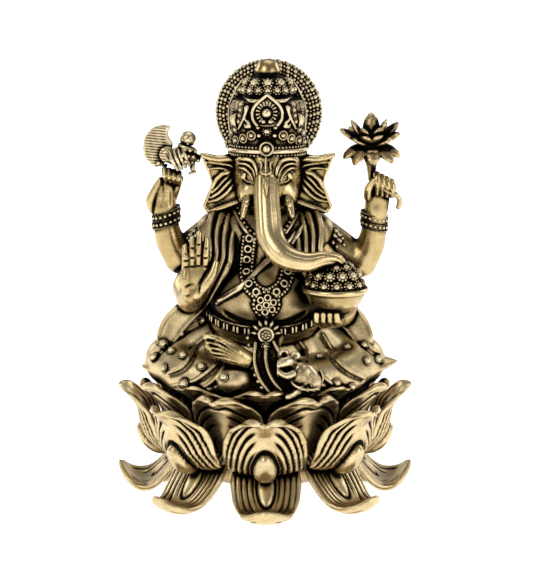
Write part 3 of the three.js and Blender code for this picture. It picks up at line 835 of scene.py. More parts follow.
class FIGURE_OT_body(bpy.types.Operator):
    """Models the belly, chest and shoulders"""

    bl_idname = "figure.body"
    bl_label = "Body"

    def execute(self, context):
        wax = Wax("torso")
        wax.egg((0, -2, 59), (12.6, 8.8, 8.6), blend=0)
        wax.egg((0, -4.2, 47.4), (12.9, 12.4, 9.6), blend=2.5)
        wax.egg((0, -2.5, 41), (13.4, 13.0, 6.6), blend=1.6)
        for side in (-1, 1):
            wax.egg((side * 11.4, 0.2, 60.6), (4.6, 4.6, 4.8), blend=2.5)
            wax.egg((side * 6.6, -7.2, 56.4), (4.6, 3.8, 3.6), blend=1.0)
            wax.egg((side * 14, -0.5, 42.6), (3.6, 5.5, 4.4), blend=1.5)
        wax.egg((0, 2, 47), (11.6, 9.4, 9.5), blend=2)
        wax.bar([(0, -1, 62), (0.5, -1, 71)], [6.6, 6.2], blend=2)
        # The shawl hangs in shallow folds over the back.
        wax.press(lambda x, y, z: 0.32 * np.clip((y - 1.5) / 3, 0, 1)
                  * np.cos(2 * np.pi * (z - 0.04 * x**2) / 3.1))
        # The soft fold under the breast and the crease of the belly.
        wax.bar(wax.front([(-9, 44.2), (-5, 42.6), (0, 42), (5, 42.6), (9, 44.2)]), 0.5, blend=0.6, cut=True)
        wax.egg(wax.front([(0.2, 44.8)])[0], (0.8, 1.0, 0.6), blend=0.5, cut=True)
        wax.cast("torso", "cloth_brass", "torso", stain=0.13)
        return DONE


class FIGURE_OT_dhoti(bpy.types.Operator):
    """Models the wrapped cloth over the hips and the folded legs"""

    bl_idname = "figure.dhoti"
    bl_label = "Dhoti"

    # The hems of the overlapping folds across the thighs, as (x, z) routes from the waist to the knee.
    HEMS = [[(-12.0, 38.6), (-15.2, 36.8), (-18.4, 33.2), (-21.6, 31.4)],
            [(-9.0, 35.6), (-12.0, 33.0), (-15.6, 30.4), (-20.4, 28.6)],
            [(-7.4, 35.6), (-9.0, 33.4), (-11.6, 30.4), (-14.4, 28.2)],
            [(-14.2, 41.6), (-18.6, 39.6), (-22.2, 37.4), (-25.8, 34.0)],
            [(6.6, 39.0), (8.6, 36.0), (11.4, 32.6), (15.4, 29.2)],
            [(13.2, 38.4), (15.4, 35.2), (18.6, 32.4), (22.4, 30.0)],
            [(15.8, 41.8), (19.6, 39.8), (23.0, 37.0), (26.0, 34.6)]]

    def execute(self, context):
        wax = Wax("dhoti_hips", "left_leg", "right_leg", room=3.2)
        floor = box_of("lotus_core")[1][2]
        wax.turned([(0, floor + 0.2), (14.6, floor + 0.2), (17, 29.4), (16.4, 34.4), (14, 39.6), (0, 42)],
                   (0, 1.4), squash=0.86, blend=0)
        for side in (-1, 1):
            thigh = [(side * 6, 3, 34), (side * 14.5, -1.4, 34.6), (side * 21.6, -7.4, 32.2)]
            shin = [(side * 21.8, -8, 32), (side * 17, -14, 30.6), (side * 8, -17, 30.2), (side * 4, -17.4, 30)]
            wax.bar(thigh, [6, 6.8, 5.2], blend=2.5)
            wax.bar(shin, [5.2, 4.8, 3.9, 3.0], blend=2)
            wax.bar([(side * 12, -4, 39), (side * 18, -6, 37), (side * 23, -8.6, 33.6)], [3, 3.4, 3], blend=2)
        # Each fold steps down under the one above it: a cord for the hem, over a cut.
        for hem in self.HEMS:
            route = curve2(hem, 0.9)
            side = np.sign(route[0, 0])
            slope = np.gradient(route, axis=0)
            below = unit(np.column_stack([slope[:, 1], -slope[:, 0]]) * side)
            edge = wax.front(route)
            under = wax.front(route + 0.75 * below)
            wax.bar(under + (0, -0.1, 0), 0.55, blend=0.5, cut=True, step=2)
            wax.bar(edge + (0, -0.1, 0), np.interp(np.linspace(0, 1, len(edge)), [0, 0.5, 1], [0.3, 0.48, 0.4]),
                    blend=0.3, step=2)
        # The corners of the cloth that stand out past the knees.
        wax.bar([(-23.6, -9.4, 31.4), (-26, -9.8, 31.2), (-28, -9.6, 31.4)], [2.6, 1.6, 0.35], flat=0.5,
                facing=(0.5, -0.3, 1), blend=0.8)
        wax.bar([(23, -9.4, 31), (26.6, -10, 32), (30, -9.8, 32.6)], [3, 2.2, 0.4], flat=0.42,
                facing=(-0.4, -0.5, 1), blend=0.8)
        # The grained knob of cloth over the ankle that is tucked under.
        wax.egg((-6.9, -20.4, 30.5), (3.9, 2.6, 2.9), lean=-8, blend=0.15)
        self.folds_behind(wax)
        wax.cast("dhoti", "cloth_brass", "dhoti_hips", "left_leg", "right_leg", stain=-0.22)
        return DONE

    @staticmethod
    def folds_behind(wax):
        """The gathers that fan over the back of the hips."""

        def gathers(x, y, z):
            angle = np.arctan2(x, y)
            behind = np.clip((y - 2) / 4, 0, 1)
            low = np.clip((42 - z) / 4, 0, 1)
            return behind * low * 0.7 * np.cos(angle * 16 + 0.12 * (z - 30) * np.sign(x))

        wax.press(gathers)


class FIGURE_OT_pleat(bpy.types.Operator):
    """Models the fan of pleats that falls between the shins"""

    bl_idname = "figure.pleat"
    bl_label = "Centre pleat"

    def execute(self, context):
        wax = Wax("dhoti_pleat", room=5, cell=0.22)
        fan = [(-2.0, 0.9), (-1.2, 2.4), (-0.2, 4.0), (1.0, 5.6), (2.2, 7.4), (3.4, 9.2)]
        for k, (top, foot) in enumerate(fan):
            points = [(top, -17.2, 39.6), (top * 0.7 - 0.4, -19.8, 35.6), ((top + foot) / 2 - 0.6, -21.4, 31.6),
                      (foot - 0.6, -22.2, 27.2)]
            wax.bar(points, [0.8, 0.95, 1.15, 1.3], flat=0.8, blend=0.12 if k else 0)
        # Three cords fan down over the gathered cloth.
        cords = Wax("dhoti_pleat", room=4, cell=0.2)
        for line in ([(-2.1, 38.6), (-2.4, 35.2), (-1.2, 31.4), (1.2, 28.0)],
                     [(0.2, 38.4), (0.2, 35.0), (1.4, 31.6), (3.6, 28.6)],
                     [(1.9, 38.9), (3.4, 36.2), (5.2, 33.0), (7.4, 29.6)]):
            cords.bar(wax.front(curve2(line, 0.8), out=0.2), 0.42, blend=0, step=2)
        wax.cast("dhoti_pleat", "cloth_brass", "dhoti_pleat", stain=0.4)
        cords.cast("pleat_cords", "cloth_brass", stain=-0.2)
        return DONE


class FIGURE_OT_foot(bpy.types.Operator):
    """Models the foot that rests on the left thigh, toes to the left"""

    bl_idname = "figure.foot"
    bl_label = "Resting foot"

    def execute(self, context):
        wax = Wax("resting_foot", room=3, cell=0.2)
        wax.bar([(-3.9, -19.8, 34.8), (-6.6, -20.2, 36.2), (-9.6, -19.6, 37.6), (-11.6, -18.4, 38.2)],
                [2.0, 2.5, 2.5, 2.1], flat=0.8, blend=0)
        wax.egg((-4.6, -19.8, 35.0), (2.0, 1.9, 1.9), blend=0.8)
        for k in range(5):
            rise = 1.9 - 1.12 * k
            size = 0.86 - 0.08 * k
            toe = [(-9.6, -19.6, 38.0 + rise * 0.8), (-11.8 + 0.2 * k, -19.6, 38.2 + rise),
                   (-12.9 + 0.42 * k, -19.2, 38.2 + rise)]
            wax.bar(toe, [size * 0.8, size * 0.82, size], blend=0.05, step=0.5)
        for k in range(4):
            start = 1.35 - 1.12 * k
            line = [(-12.6 + 0.4 * k, 38.2 + start), (-10.4 + 0.2 * k, 38.0 + start * 0.9),
                    (-7.8, 37.2 + start * 0.6), (-5.6, 36.0 + start * 0.4)]
            wax.bar(wax.front(line), [0.3, 0.26, 0.2, 0.12], blend=0.15, cut=True)
        wax.cast("resting_foot", "polished_brass", "resting_foot", stain=0.14)
        return DONE


class FIGURE_OT_head(bpy.types.Operator):
    """Models the head with its eyes, brows and the sunk panel that the forehead mark lies on"""

    bl_idname = "figure.head"
    bl_label = "Head"

    def execute(self, context):
        x0 = middle_of("crown")[0]
        wax = Wax("head", room=3, cell=0.2)
        wax.egg((x0, -3.2, 74.6), (7.7, 7.8, 8.4), blend=0)
        wax.egg((x0, -5.6, 70.2), (5.8, 5.0, 4.4), blend=2)
        wax.bar([(x0, -7.4, 80), (x0, -9.4, 76), (x0, -11.2, 71.6)], [3.4, 3.4, 3.0], flat=0.8, blend=2.4)
        for side in (-1, 1):
            wax.egg((x0 + side * 4.3, -7.6, 70.8), (2.5, 2.8, 3.2), blend=1.0)  # cheek
            wax.egg((x0 + side * 4.2, -6.8, 77.6), (3.0, 3.2, 2.6), blend=1.0)  # temple
        lids = Wax("head", room=2, cell=0.14)
        for side in (-1, 1):
            self.eye(wax, lids, x0 - 0.2, side)
        panel = wax.front([(x0 - 0.3, 77.2)])[0]
        wax.egg(panel + (0, 0.1, 0), (1.5, 0.4, 1.9), blend=0.3, cut=True)
        wax.cast("head", "polished_brass", "head")
        lids.cast("eyelids", "polished_brass", stain=-0.15)
        return DONE

    @staticmethod
    def eye(wax, lids, x0, side):
        """An almond eye under nested brows that sweep down beside the trunk."""
        routes = [([(6.8, 76.0), (5.8, 76.6), (4.6, 76.2), (3.6, 75.2), (3.1, 74.1)], 0.32),
                  ([(6.1, 75.6), (5.2, 74.4), (4.5, 73.7), (3.2, 73.6)], 0.24),
                  ([(6.9, 76.9), (5.8, 77.6), (4.2, 77.3), (3.0, 76.2), (2.6, 75.0)], 0.26),
                  ([(6.9, 78.1), (5.4, 78.6), (3.4, 78.3), (2.4, 76.9), (2.1, 75.4)], 0.45)]
        for route, width in routes:
            route = np.array(route) * (side, 1) + (x0, 0)
            ends = wax.front(route, out=0.12)
            wax.bar(wax.front(route + (-0.25 * side, -0.45)), 0.2, blend=0.3, cut=True, step=0.6)
            taper = np.interp(np.linspace(0, 1, len(ends)), [0, 0.3, 0.7, 1], [0.5, 1, 1, 0.6])
            lids.bar(ends, taper * width, blend=0, step=0.5)
        ball = wax.front([(x0 + side * 4.7, 75.0)])[0]
        lids.egg(ball + (0, 0.25, 0), (1.35, 0.6, 0.75), lean=side * 42, blend=0)
        lids.egg(ball + (-0.35 * side, -0.5, -0.3), (0.4, 0.5, 0.34), blend=0.05, cut=True)


class FIGURE_OT_trunk(bpy.types.Operator):
    """Models the trunk, with a smooth band down each side of its grained face, and the tusks"""

    bl_idname = "figure.trunk"
    bl_label = "Trunk and tusks"

    ROUTE = [(0.3, -8.2, 78.8), (0.3, -11.0, 74.0), (0.55, -14.0, 67.6), (1.3, -16.4, 61.8), (4.1, -18.6, 58.2),
             (8.8, -19.6, 56.9), (13.0, -19.2, 57.6), (15.9, -18.2, 57.3), (17.2, -17.4, 55.6)]
    WIDTHS = [2.3, 2.75, 2.95, 3.05, 2.75, 2.25, 1.7, 1.35, 1.1]

    def execute(self, context):
        wax = Wax("trunk", room=2.5, cell=0.22)
        wax.bar(self.ROUTE, self.WIDTHS, flat=0.9, blend=0)
        path, widths = smooth_path(self.ROUTE, self.WIDTHS, 0.8)
        way = unit(np.gradient(path, axis=0))
        ahead = np.array([0, -1, 0.15])
        out = unit(ahead - way * (way @ ahead)[:, None])
        across = np.cross(way, out)
        # Two shallow lines set off a smooth band down each side of the grained face.
        for side in (-1, 1):
            line = path + across * side * (widths * 0.5)[:, None] + out * (widths * 0.84)[:, None]
            wax.bar(line[6:], 0.17, blend=0.5, cut=True, step=3)
        wax.cast("trunk", "polished_brass", "trunk")
        self.forehead_mark(wax, BLOCKS["head"], path[0, 0] - 0.1)
        for side, name in SIDES:
            name = f"{name}_tusk"
            tusk = Wax(name, room=2, cell=0.18)
            x0 = middle_of("crown")[0]
            root = np.array([x0 + side * 4.1, -9.4, 70.0])
            tip = np.array([x0 + side * 5.4, -12.4, 66.2])
            tusk.bar([root + (0, 0.6, 1.2), root, (root + tip) / 2, tip], [1.3, 1.35, 1.1, 0.6], blend=0)
            for k in range(2):
                collar = root + (tip - root) * (0.16 + 0.2 * k)
                hoop = [collar - (0.9, 0.9, 0), collar - (0, 1.5, 0.2), collar - (-0.9, 0.9, 0)]
                tusk.bar(hoop, 0.26, blend=0.15)
            tusk.cast(name, "polished_brass", name)
        return DONE

    @staticmethod
    def forehead_mark(trunk, head, x0):
        """Three upright strokes on a bar, with a drop below them that runs down the trunk."""
        mark = Wax("head", room=4, cell=0.14)
        strokes = [([(0, 79.3), (0, 77.8), (0, 75.4)], [0.2, 0.42, 0.25]),
                   ([(0, 75.2), (0.05, 73.8), (0.15, 72.4), (0.1, 71.2)], [0.2, 0.42, 0.36, 0.15]),
                   ([(-0.5, 74.9), (-0.45, 73.4), (0.1, 72.0)], 0.16),
                   ([(0.5, 74.9), (0.55, 73.4), (0.1, 72.0)], 0.16)]
        for side in (-1, 1):
            strokes.append(([(side * 1.45, 78.3), (side * 1.0, 77.9), (side * 1.05, 76.8), (side * 1.1, 76.0),
                             (side * 0.5, 75.6), (0, 75.6)], 0.25))
        for stroke, widths in strokes:
            places = np.array(stroke) + (x0, 0)
            on_trunk, on_head = trunk.front(places, out=0.18), head.front(places, out=0.18)
            mark.bar(np.where(on_trunk[:, 1:2] < on_head[:, 1:2], on_trunk, on_head), widths, blend=0, step=0.4)
        mark.cast("forehead_mark", "polished_brass", stain=-0.2)



def ring(middle, radii, steps=24, tilt=(0, 0), start=0.0):
    """A closed ring of points round middle; tilt is how far it rises per millimetre along X and Y."""
    angles = start + np.linspace(0, 2 * np.pi, steps + 1)
    x, y = radii[0] * np.cos(angles), radii[1] * np.sin(angles)
    return np.column_stack([middle[0] + x, middle[1] + y, middle[2] + tilt[0] * x + tilt[1] * y])


def both_sides(places, x0):
    """Some (x, z) places and their mirror images about x0."""
    places = np.asarray(places, float)
    return [places, places * (-1, 1) + (2 * x0, 0)]


class FIGURE_OT_shawls(bpy.types.Operator):
    """Models the two ends of the shawl, pleated over the shoulders and smooth with corded edges below"""

    bl_idname = "figure.shawls"
    bl_label = "Shawl ends"

    ROUTE = [(8.6, -2.4, 66.4), (10.0, -8.6, 61.6), (10.2, -11.6, 56.4), (12.6, -10.6, 50.4), (16.2, -9.4, 45.4),
             (20.4, -9.6, 41.2), (22.6, -11.0, 37.6)]
    SPREAD = [1.0, 1.0, 0.85, 0.7, 0.85, 0.95, 0.75]  # how far the pleats fan out along the route

    def execute(self, context):
        for side, name in SIDES:
            name = f"{name}_shawl"
            wax = Wax(name, room=3.5, cell=0.24)
            route = np.array(self.ROUTE) * (side, 1, 1)
            spread = np.array(self.SPREAD)[:, None]
            across = np.array([1.0, 0.25 * side, 0.5 * side])
            wax.bar(route + (0, 1.0, 0), 3.0 * spread[:, 0], flat=0.5, blend=0)
            fade = np.interp(np.arange(len(route)), [0, 2, 4], [0.78, 0.7, 0.12])[:5]
            for k in range(4):
                wax.bar((route + across * (k - 1.5) * 1.7 * spread)[:5] - (0, 0.3, 0), fade, blend=0.08)
            for k in range(3):
                valley = (route + across * (k - 1) * 1.7 * spread)[:5]
                wax.bar(valley - (0, 0.9, 0), fade * 0.4, blend=0.1, cut=True)
            for edge in (-1, 1):
                cord = wax.front((route + across * edge * 2.3 * spread)[2:, [0, 2]], out=0.1)
                wax.bar(cord, 0.38, blend=0.08)
            wax.cast(name, "cloth_brass", name)
        return DONE


class FIGURE_OT_rear_arms(bpy.types.Operator):
    """Models the two raised arms, one hand closed round the axe and the other round the flower's stem"""

    bl_idname = "figure.rear_arms"
    bl_label = "Raised arms"

    def execute(self, context):
        left = Wax("left_rear_arm", room=3, cell=0.22)
        left.bar([(-11, 2.5, 61), (-16, 1.2, 57.4), (-19.6, -0.2, 54.6)], [4.2, 4.0, 3.2], blend=0)
        left.bar([(-19.8, -0.4, 54.6), (-21.6, -0.9, 58.4), (-22.5, -1.3, 62), (-22.8, -1.8, 66.4)],
                 [3.2, 3.3, 2.9, 2.5], blend=1.2)
        left.bar([(-22.8, -1.8, 65.6), (-22.9, -2.2, 69), (-22.3, -2.6, 72.2), (-21.9, -2.9, 74.6)],
                 [2.6, 2.5, 1.7, 1.2], flat=0.75, blend=0.8)
        left.bar([(-25.8, -2.0, 66.2), (-26.0, -2.4, 68.2), (-25.0, -2.8, 70.8), (-23.8, -3.2, 73.2)],
                 [0.8, 1.15, 1.0, 0.6], blend=0.1)
        left.bar([(-20.9, -1.6, 68.4), (-20.2, -2.2, 71), (-19.2, -2.8, 73.4)], [0.7, 0.95, 0.7], blend=0.15)
        for k in range(4):
            top = np.array([-22.7 + 1.05 * k, -4.2, 75.6 - 0.25 * k])
            left.bar([top + (-0.2, 3.2, -0.8), top, top + (0.1, -0.8, -1.3), top + (0.3, 0.2, -2.4)],
                     [0.6, 0.72, 0.68, 0.5], blend=0.06)
        left.bar(left.front([(-23.2, 73), (-23, 70), (-23.6, 67)]), 0.2, blend=0.2, cut=True)
        left.bar(left.front([(-21.7, 73), (-21.3, 70), (-21.4, 67.6)]), 0.2, blend=0.2, cut=True)
        # Part of this arm's extra wash is painted shade, darkening it where the studio's white reflections make it too
        # bright.
        left.cast("left_rear_arm", "polished_brass", "left_rear_arm", stain=0.15)

        right = Wax("right_rear_arm", room=3, cell=0.22)
        right.bar([(11, 2.5, 61), (17, 1.2, 57), (22, -0.2, 53.8)], [4.2, 4.0, 3.3], blend=0)
        right.bar([(22.4, -0.4, 53.8), (24.3, -0.9, 58), (25.0, -1.4, 62), (25.3, -1.9, 66)],
                  [3.3, 3.2, 2.8, 2.5], blend=1.2)
        right.bar([(25.3, -1.9, 65.4), (25.7, -2.4, 69), (26.4, -2.4, 72.2)], [2.5, 2.7, 2.0], flat=0.7, blend=0.8)
        for k in range(4):
            top = np.array([25.3 + 1.12 * k, -4.0, 74.4 - 0.55 * k])
            right.bar([top + (-0.1, 2.6, -1.0), top, top + (0.2, -1.0, -1.6), top + (0.1, -0.2, -4.2 + 0.35 * k)],
                      [0.75, 0.85, 0.82, 0.6], blend=0.06)
        right.bar([(23.4, -3.2, 69.2), (23.4, -4.4, 71.2), (24.7, -4.9, 73.2)], [1.0, 0.95, 0.7], blend=0.2)
        # Part of this arm's extra wash is painted shade, darkening it where the studio's white reflections make it too
        # bright.
        right.cast("right_rear_arm", "polished_brass", "right_rear_arm", stain=0.15)

        for side, name in SIDES:
            armlet = Jewels()
            arm = BLOCKS[f"{name}_rear_arm"]
            for k in range(3):
                places = arm.front([(side * (15.3 + 0.9 * k + 0.7 * t), 61.9 - 0.9 * k + 0.8 * t - 1.6 * t * t)
                                    for t in np.linspace(-1, 1.4, 6)])
                armlet.lay(arm, places, 0.42 if k != 1 else 0.55)
            armlet.piece(f"{name}_armlet_beads", "jewel_brass")
        return DONE


class FIGURE_OT_front_arms(bpy.types.Operator):
    """Models the two lowered arms: one palm shown in blessing, the other hand under the bowl"""

    bl_idname = "figure.front_arms"
    bl_label = "Lowered arms"

    def execute(self, context):
        left = Wax("left_front_arm", room=3, cell=0.2)
        left.bar([(-11.5, 0, 58), (-15.6, -1, 53), (-17.8, -4.4, 48.4)], [3.8, 3.6, 3.1], blend=0)
        left.bar([(-17.8, -4.4, 48.4), (-17, -10, 46.8), (-15.4, -14.4, 49.4)], [3.2, 2.9, 2.5], blend=1)
        left.bar([(-15.4, -15.4, 49.2), (-15.2, -15.8, 52), (-15.2, -15.7, 55.2)], [2.6, 3.5, 2.9], flat=0.45,
                 blend=0.8)
        left.bar([(-17.3, -16.2, 49.8), (-17.6, -16.4, 52.4), (-17.5, -16.2, 54.8)], [1.1, 1.25, 0.9], blend=0.5)
        for x, tip, lean in ((-17.5, 59.9, -0.1), (-16.1, 61.7, 0.1), (-14.7, 62.9, 0.15), (-13.1, 61.6, 0.2)):
            root = 55.0
            finger = [(x - 0.1, -16.1, root - 0.6), (x, -16.6, (root + tip) / 2), (x + lean, -16.3, tip)]
            left.bar(finger, [0.86, 0.86, 0.62], blend=0.06)
            for share in (0.08, 0.38, 0.7):
                joint = left.front([(x + lean * share, root + share * (tip - root))])[0]
                left.egg(joint + (0, 0.05, 0), (0.9, 0.3, 0.13), blend=0.15, cut=True)
        left.bar([(-14.8, -16.2, 49.2), (-13.2, -16.9, 51.4), (-11.6, -17.0, 54.0), (-10.9, -16.6, 56.3)],
                 [1.5, 1.35, 1.0, 0.72], blend=0.35)
        for line in ([(-17.6, 51.0), (-16.0, 51.6), (-14.4, 50.8)],
                     [(-14.6, 49.6), (-14.4, 51.6), (-12.9, 54.2)]):
            left.bar(left.front(line), 0.2, blend=0.25, cut=True)
        # Part of this arm's extra wash is painted shade, darkening it where the studio's white reflections make it too
        # bright.
        left.cast("left_front_arm", "polished_brass", "left_front_arm", stain=0.15)

        right = Wax("right_front_arm", room=3, cell=0.22)
        right.bar([(11.5, 0, 58), (16.2, -1, 52), (18.6, -4.4, 46.6)], [3.8, 3.5, 2.9], blend=0)
        right.bar([(18.6, -4.4, 46.6), (17.8, -10.4, 43.6), (13.2, -16, 43)], [2.9, 2.5, 1.7], blend=1)
        for k in range(4):
            x = 11.4 + 1.45 * k
            right.bar([(x + 1.6, -12.6, 43), (x + 0.6, -17, 42.9), (x, -19.6, 44.0), (x, -20.3, 45.3)],
                      [1.0, 0.95, 0.85, 0.6], blend=0.06)
        # Part of this arm's extra wash is painted shade, darkening it where the studio's white reflections make it too
        # bright.
        right.cast("right_front_arm", "polished_brass", "right_front_arm", stain=0.15)
        return DONE


class FIGURE_OT_bangles(bpy.types.Operator):
    """Makes the two jewelled bangles: three rims with two rows of beads between them"""

    bl_idname = "figure.bangles"
    bl_label = "Bangles"

    def execute(self, context):
        for name, slope in (("left_bangle", 0.3), ("right_bangle", -0.2)):
            low, high = box_of(name)
            middle = (low + high) / 2
            reach = (high - low)[:2] / 2 - 0.4
            rise = (high - low)[2] / 2 - 0.9
            wax = Wax(name, room=2.5, cell=0.2)
            for k in (-0.5, 0.5):
                wax.bar(ring(middle + (0, 0, k * rise), reach - 0.85, tilt=(slope, 0.1)), 0.8, blend=0.05)
            for k in (-1, 0, 1):
                wax.bar(ring(middle + (0, 0, k * rise), reach - 0.1, tilt=(slope, 0.1)), 0.3, blend=0.05)
            wax.cast(name, "jewel_brass", name, stain=0.4)
            beads = Jewels()
            for k in (-0.5, 0.5):
                places = ring(middle + (0, 0, k * rise), reach + 0.02, 18, tilt=(slope, 0.1), start=k)[:-1]
                beads.set(places, unit((places - middle) * (1, 1, 0)), 0.42)
            beads.piece(f"{name}_beads", "jewel_brass")
        return DONE


class FIGURE_OT_axe(bpy.types.Operator):
    """Models the axe: a crescent blade with filed lines, a ringed eye, a banded grip and a round knob"""

    bl_idname = "figure.axe"
    bl_label = "Axe"

    BLADE = [(-27.6, 80.3), (-27.3, 82.4), (-25.9, 84.5), (-23.7, 85.5), (-21.3, 85.3), (-22.0, 83.6),
             (-20.9, 81.2), (-21.6, 79.0), (-22.5, 77.2), (-24.8, 76.1), (-26.2, 77.2), (-27.4, 78.7), (-27.6, 80.3)]

    def execute(self, context):
        wax = Wax("axe", room=3.2, cell=0.16)
        wax.plate(curve2(self.BLADE, 0.5), -3, 0.7, blend=0, edge=0.45)
        eye = np.array([-22.1, -3.9, 79.0])
        wax.egg(eye, (1.5, 1.0, 1.5), blend=0.1)
        wax.bar([eye + (1.55 * math.cos(a), -0.1, 1.55 * math.sin(a)) for a in np.linspace(0.7, 5.4, 12)], 0.3,
                blend=0.08)
        wax.bar([(-22.4, -3.2, 78.8), (-20.4, -3.6, 78.4), (-18.2, -3.8, 78.6), (-15.4, -3.4, 78.2)],
                [1.3, 1.9, 1.9, 0.9], blend=0.15)
        for k in range(4):
            shift = np.array([0.98 * k, 0, 0.42 * k])
            wax.bar([np.array([-21.6, -4.4, 79.6]) + shift, np.array([-20.9, -5.9, 78.0]) + shift * 0.95,
                     np.array([-19.7, -5.0, 75.6]) + shift * 0.9], [0.4, 0.5, 0.4], blend=0.05)
        wax.egg((-17.4, -3.6, 82.5), (1.85, 1.85, 1.75), blend=0.08)
        wax.bar(ring((-17.6, -3.7, 80.6), (1.75, 1.75), tilt=(-0.35, 0)), 0.4, blend=0.08)
        wax.bar([(-16.6, -3.7, 77.4), (-16.4, -4.0, 75.6)], [0.8, 0.5], blend=0.15)
        wax.bar(ring((-16.4, -4.0, 74.9), (0.66, 0.5), 12, tilt=(0.3, 0)), 0.3, blend=0.05)
        wax.cast("axe", "jewel_brass", "axe")
        # The wash stays in the file marks across the blade.
        mesh = PIECES[-1].data
        x, y, z = read(mesh.vertices, "co").T / MM
        on_blade = (y < -3.3) * (x < -22.4) * (x > -27)
        marks = np.clip(np.cos(2 * np.pi * (z + 0.1 * (x + 24)) / 0.62), 0, 1) * on_blade
        write_values(mesh, "groove", marks)
        beads = Jewels()
        spots = [(-20.2, 80.2), (-19.2, 80.5), (-18.0, 80.2), (-16.9, 80.1), (-15.8, 79.8), (-18.5, 79.0),
                 (-17.3, 78.8), (-16.2, 78.6), (-17.8, 77.6), (-16.6, 77.3), (-15.2, 77.7), (-24.1, 77.0),
                 (-23.3, 76.7), (-22.6, 76.4)]
        beads.lay(wax, wax.front(spots), 0.55)
        beads.lay(wax, wax.front([(-17.6, 83.2), (-16.5, 82.4), (-18.5, 82.4), (-17.4, 81.5)]), 0.36)
        beads.piece("axe_beads", "jewel_brass")
        return DONE


class FIGURE_OT_flower(bpy.types.Operator):
    """Models the lotus held up on its stem"""

    bl_idname = "figure.flower"
    bl_label = "Lotus flower"

    # Where each petal ends, as x, y, z; the first ones stand up and the last ones droop.
    TIPS = [(19.5, -3.0, 86.6), (17.1, -2.2, 84.5), (27.4, -3.4, 86.8), (30.2, -1.6, 86.0), (30.4, -3.4, 83.6),
            (22.0, -4.6, 84.6), (25.9, -4.8, 84.8), (22.6, -5.2, 82.8), (25.6, -5.4, 83.0), (20.2, -4.0, 82.2),
            (28.4, -4.6, 82.4),
            (24.0, 3.6, 85.4), (28.6, 3.0, 84.6), (19.4, 3.0, 84.6),
            (17.9, -3.2, 77.9), (20.1, -5.0, 76.7), (24.5, -6.0, 76.9), (28.7, -4.8, 77.1), (30.6, -2.6, 78.2),
            (21.6, 3.0, 77.4), (26.6, 3.2, 77.4)]

    def execute(self, context):
        wax = Wax("lotus_flower", room=4, cell=0.2)
        centre = np.array([24.1, -1.4, 80.4])
        wax.egg(centre + (0, 0, 0.6), (2.7, 2.7, 2.9), blend=0)
        wax.bar([centre + (0, 0, 2), centre + (0, 0, 5.6), centre + (-0.1, 0, 7.6)], [2.4, 1.7, 0.35], blend=0.3)
        for tip in self.TIPS:
            tip = np.array(tip)
            way = tip - centre
            flat = np.array([way[0], way[1], 0])
            lift = 0.9 if way[2] > 0 else 1.3
            points = [centre + (0, 0, -0.6), centre + 0.45 * flat + (0, 0, 0.35 * way[2] + lift * 0.5),
                      centre + 0.8 * flat + (0, 0, 0.72 * way[2] + lift * 0.4), tip]
            facing = np.cross(way, np.cross((0, 0, 1), way))
            wax.bar(points, [1.0, 1.75, 1.5, 0.25], flat=0.42, facing=unit(facing) + (0, -0.4, 0), blend=0.06)
            wax.bar(np.array(points[1:]) - (0, 0.62, 0), [0.12, 0.2, 0.1], blend=0.15)
        wax.bar([centre - (0, 0, 2), (24.2, -1.8, 76.4), (24.2, -2.6, 73.2)], [1.9, 1.2, 0.75], blend=0.3)
        wax.bar([(25.4, -4.6, 72.4), (27.6, -5.2, 70.8), (29.6, -4.6, 70), (30.6, -3.8, 68.6), (30.4, -3.6, 67.0)],
                [0.5, 0.5, 0.55, 0.55, 0.65], blend=0.2)
        wax.cast("lotus_flower", "lotus_brass", "lotus_flower", stain=0.22)
        return DONE


class FIGURE_OT_bowl(bpy.types.Operator):
    """Makes the bowl and the heap of round sweets in it, each pressed in a flower mould"""

    bl_idname = "figure.bowl"
    bl_label = "Bowl of sweets"

    def execute(self, context):
        low, high = box_of("bowl")
        at = middle_of("bowl")
        rim = (high - low)[0] / 2 + 0.1
        top = high[2]
        foot = low[2]
        profile = [(0, foot), (2.4, foot + 0.15), (4.3, foot + 0.95), (5.7, foot + 2.2), (rim - 0.75, top - 1.6),
                   (rim - 0.55, top - 1.1), (rim - 0.25, top - 1.0), (rim, top - 0.6), (rim - 0.1, top + 0.05),
                   (rim - 0.7, top + 0.25), (rim - 1.2, top - 0.1), (rim - 1.6, top - 1), (0, foot + 1.8)]
        finish_piece(turned_mesh("bowl", profile, at), "bowl", "polished_brass", "bowl", stain=0.12)
        sweets = Jewels()
        crest = top + 5.9
        heap = [(0, top - 1), (rim - 1.7, top - 0.9), (rim - 1.5, top + 0.8), (rim - 2.6, top + 3.2),
                (rim - 4.6, top + 4.8), (0, top + 5.4)]
        sweets.meshes.append(turned_mesh("heap", heap, at))
        for share, number in ((0.06, 14), (0.36, 12), (0.64, 9), (0.86, 5), (1.0, 1)):
            slope = share * math.pi / 2
            out, up = (rim - 1.3) * math.cos(slope), (crest - 0.9 - top) * math.sin(slope)
            angles = turns(number, 0.37 * number)
            places = np.column_stack([on_circle(at, out, angles), np.full(number, top + 0.5 + up)])
            facings = np.column_stack([np.cos(slope) * np.cos(angles), np.cos(slope) * np.sin(angles),
                                       np.full(number, 0.25 + np.sin(slope))])
            sweets.set(places, facings, 1.3, dome=0.66, height=1.0, petals=9, petal_size=0.26, petal_circle=0.76,
                       petal_length=1.1)
        sweets.piece("sweets", "jewel_brass", "sweets")
        return DONE


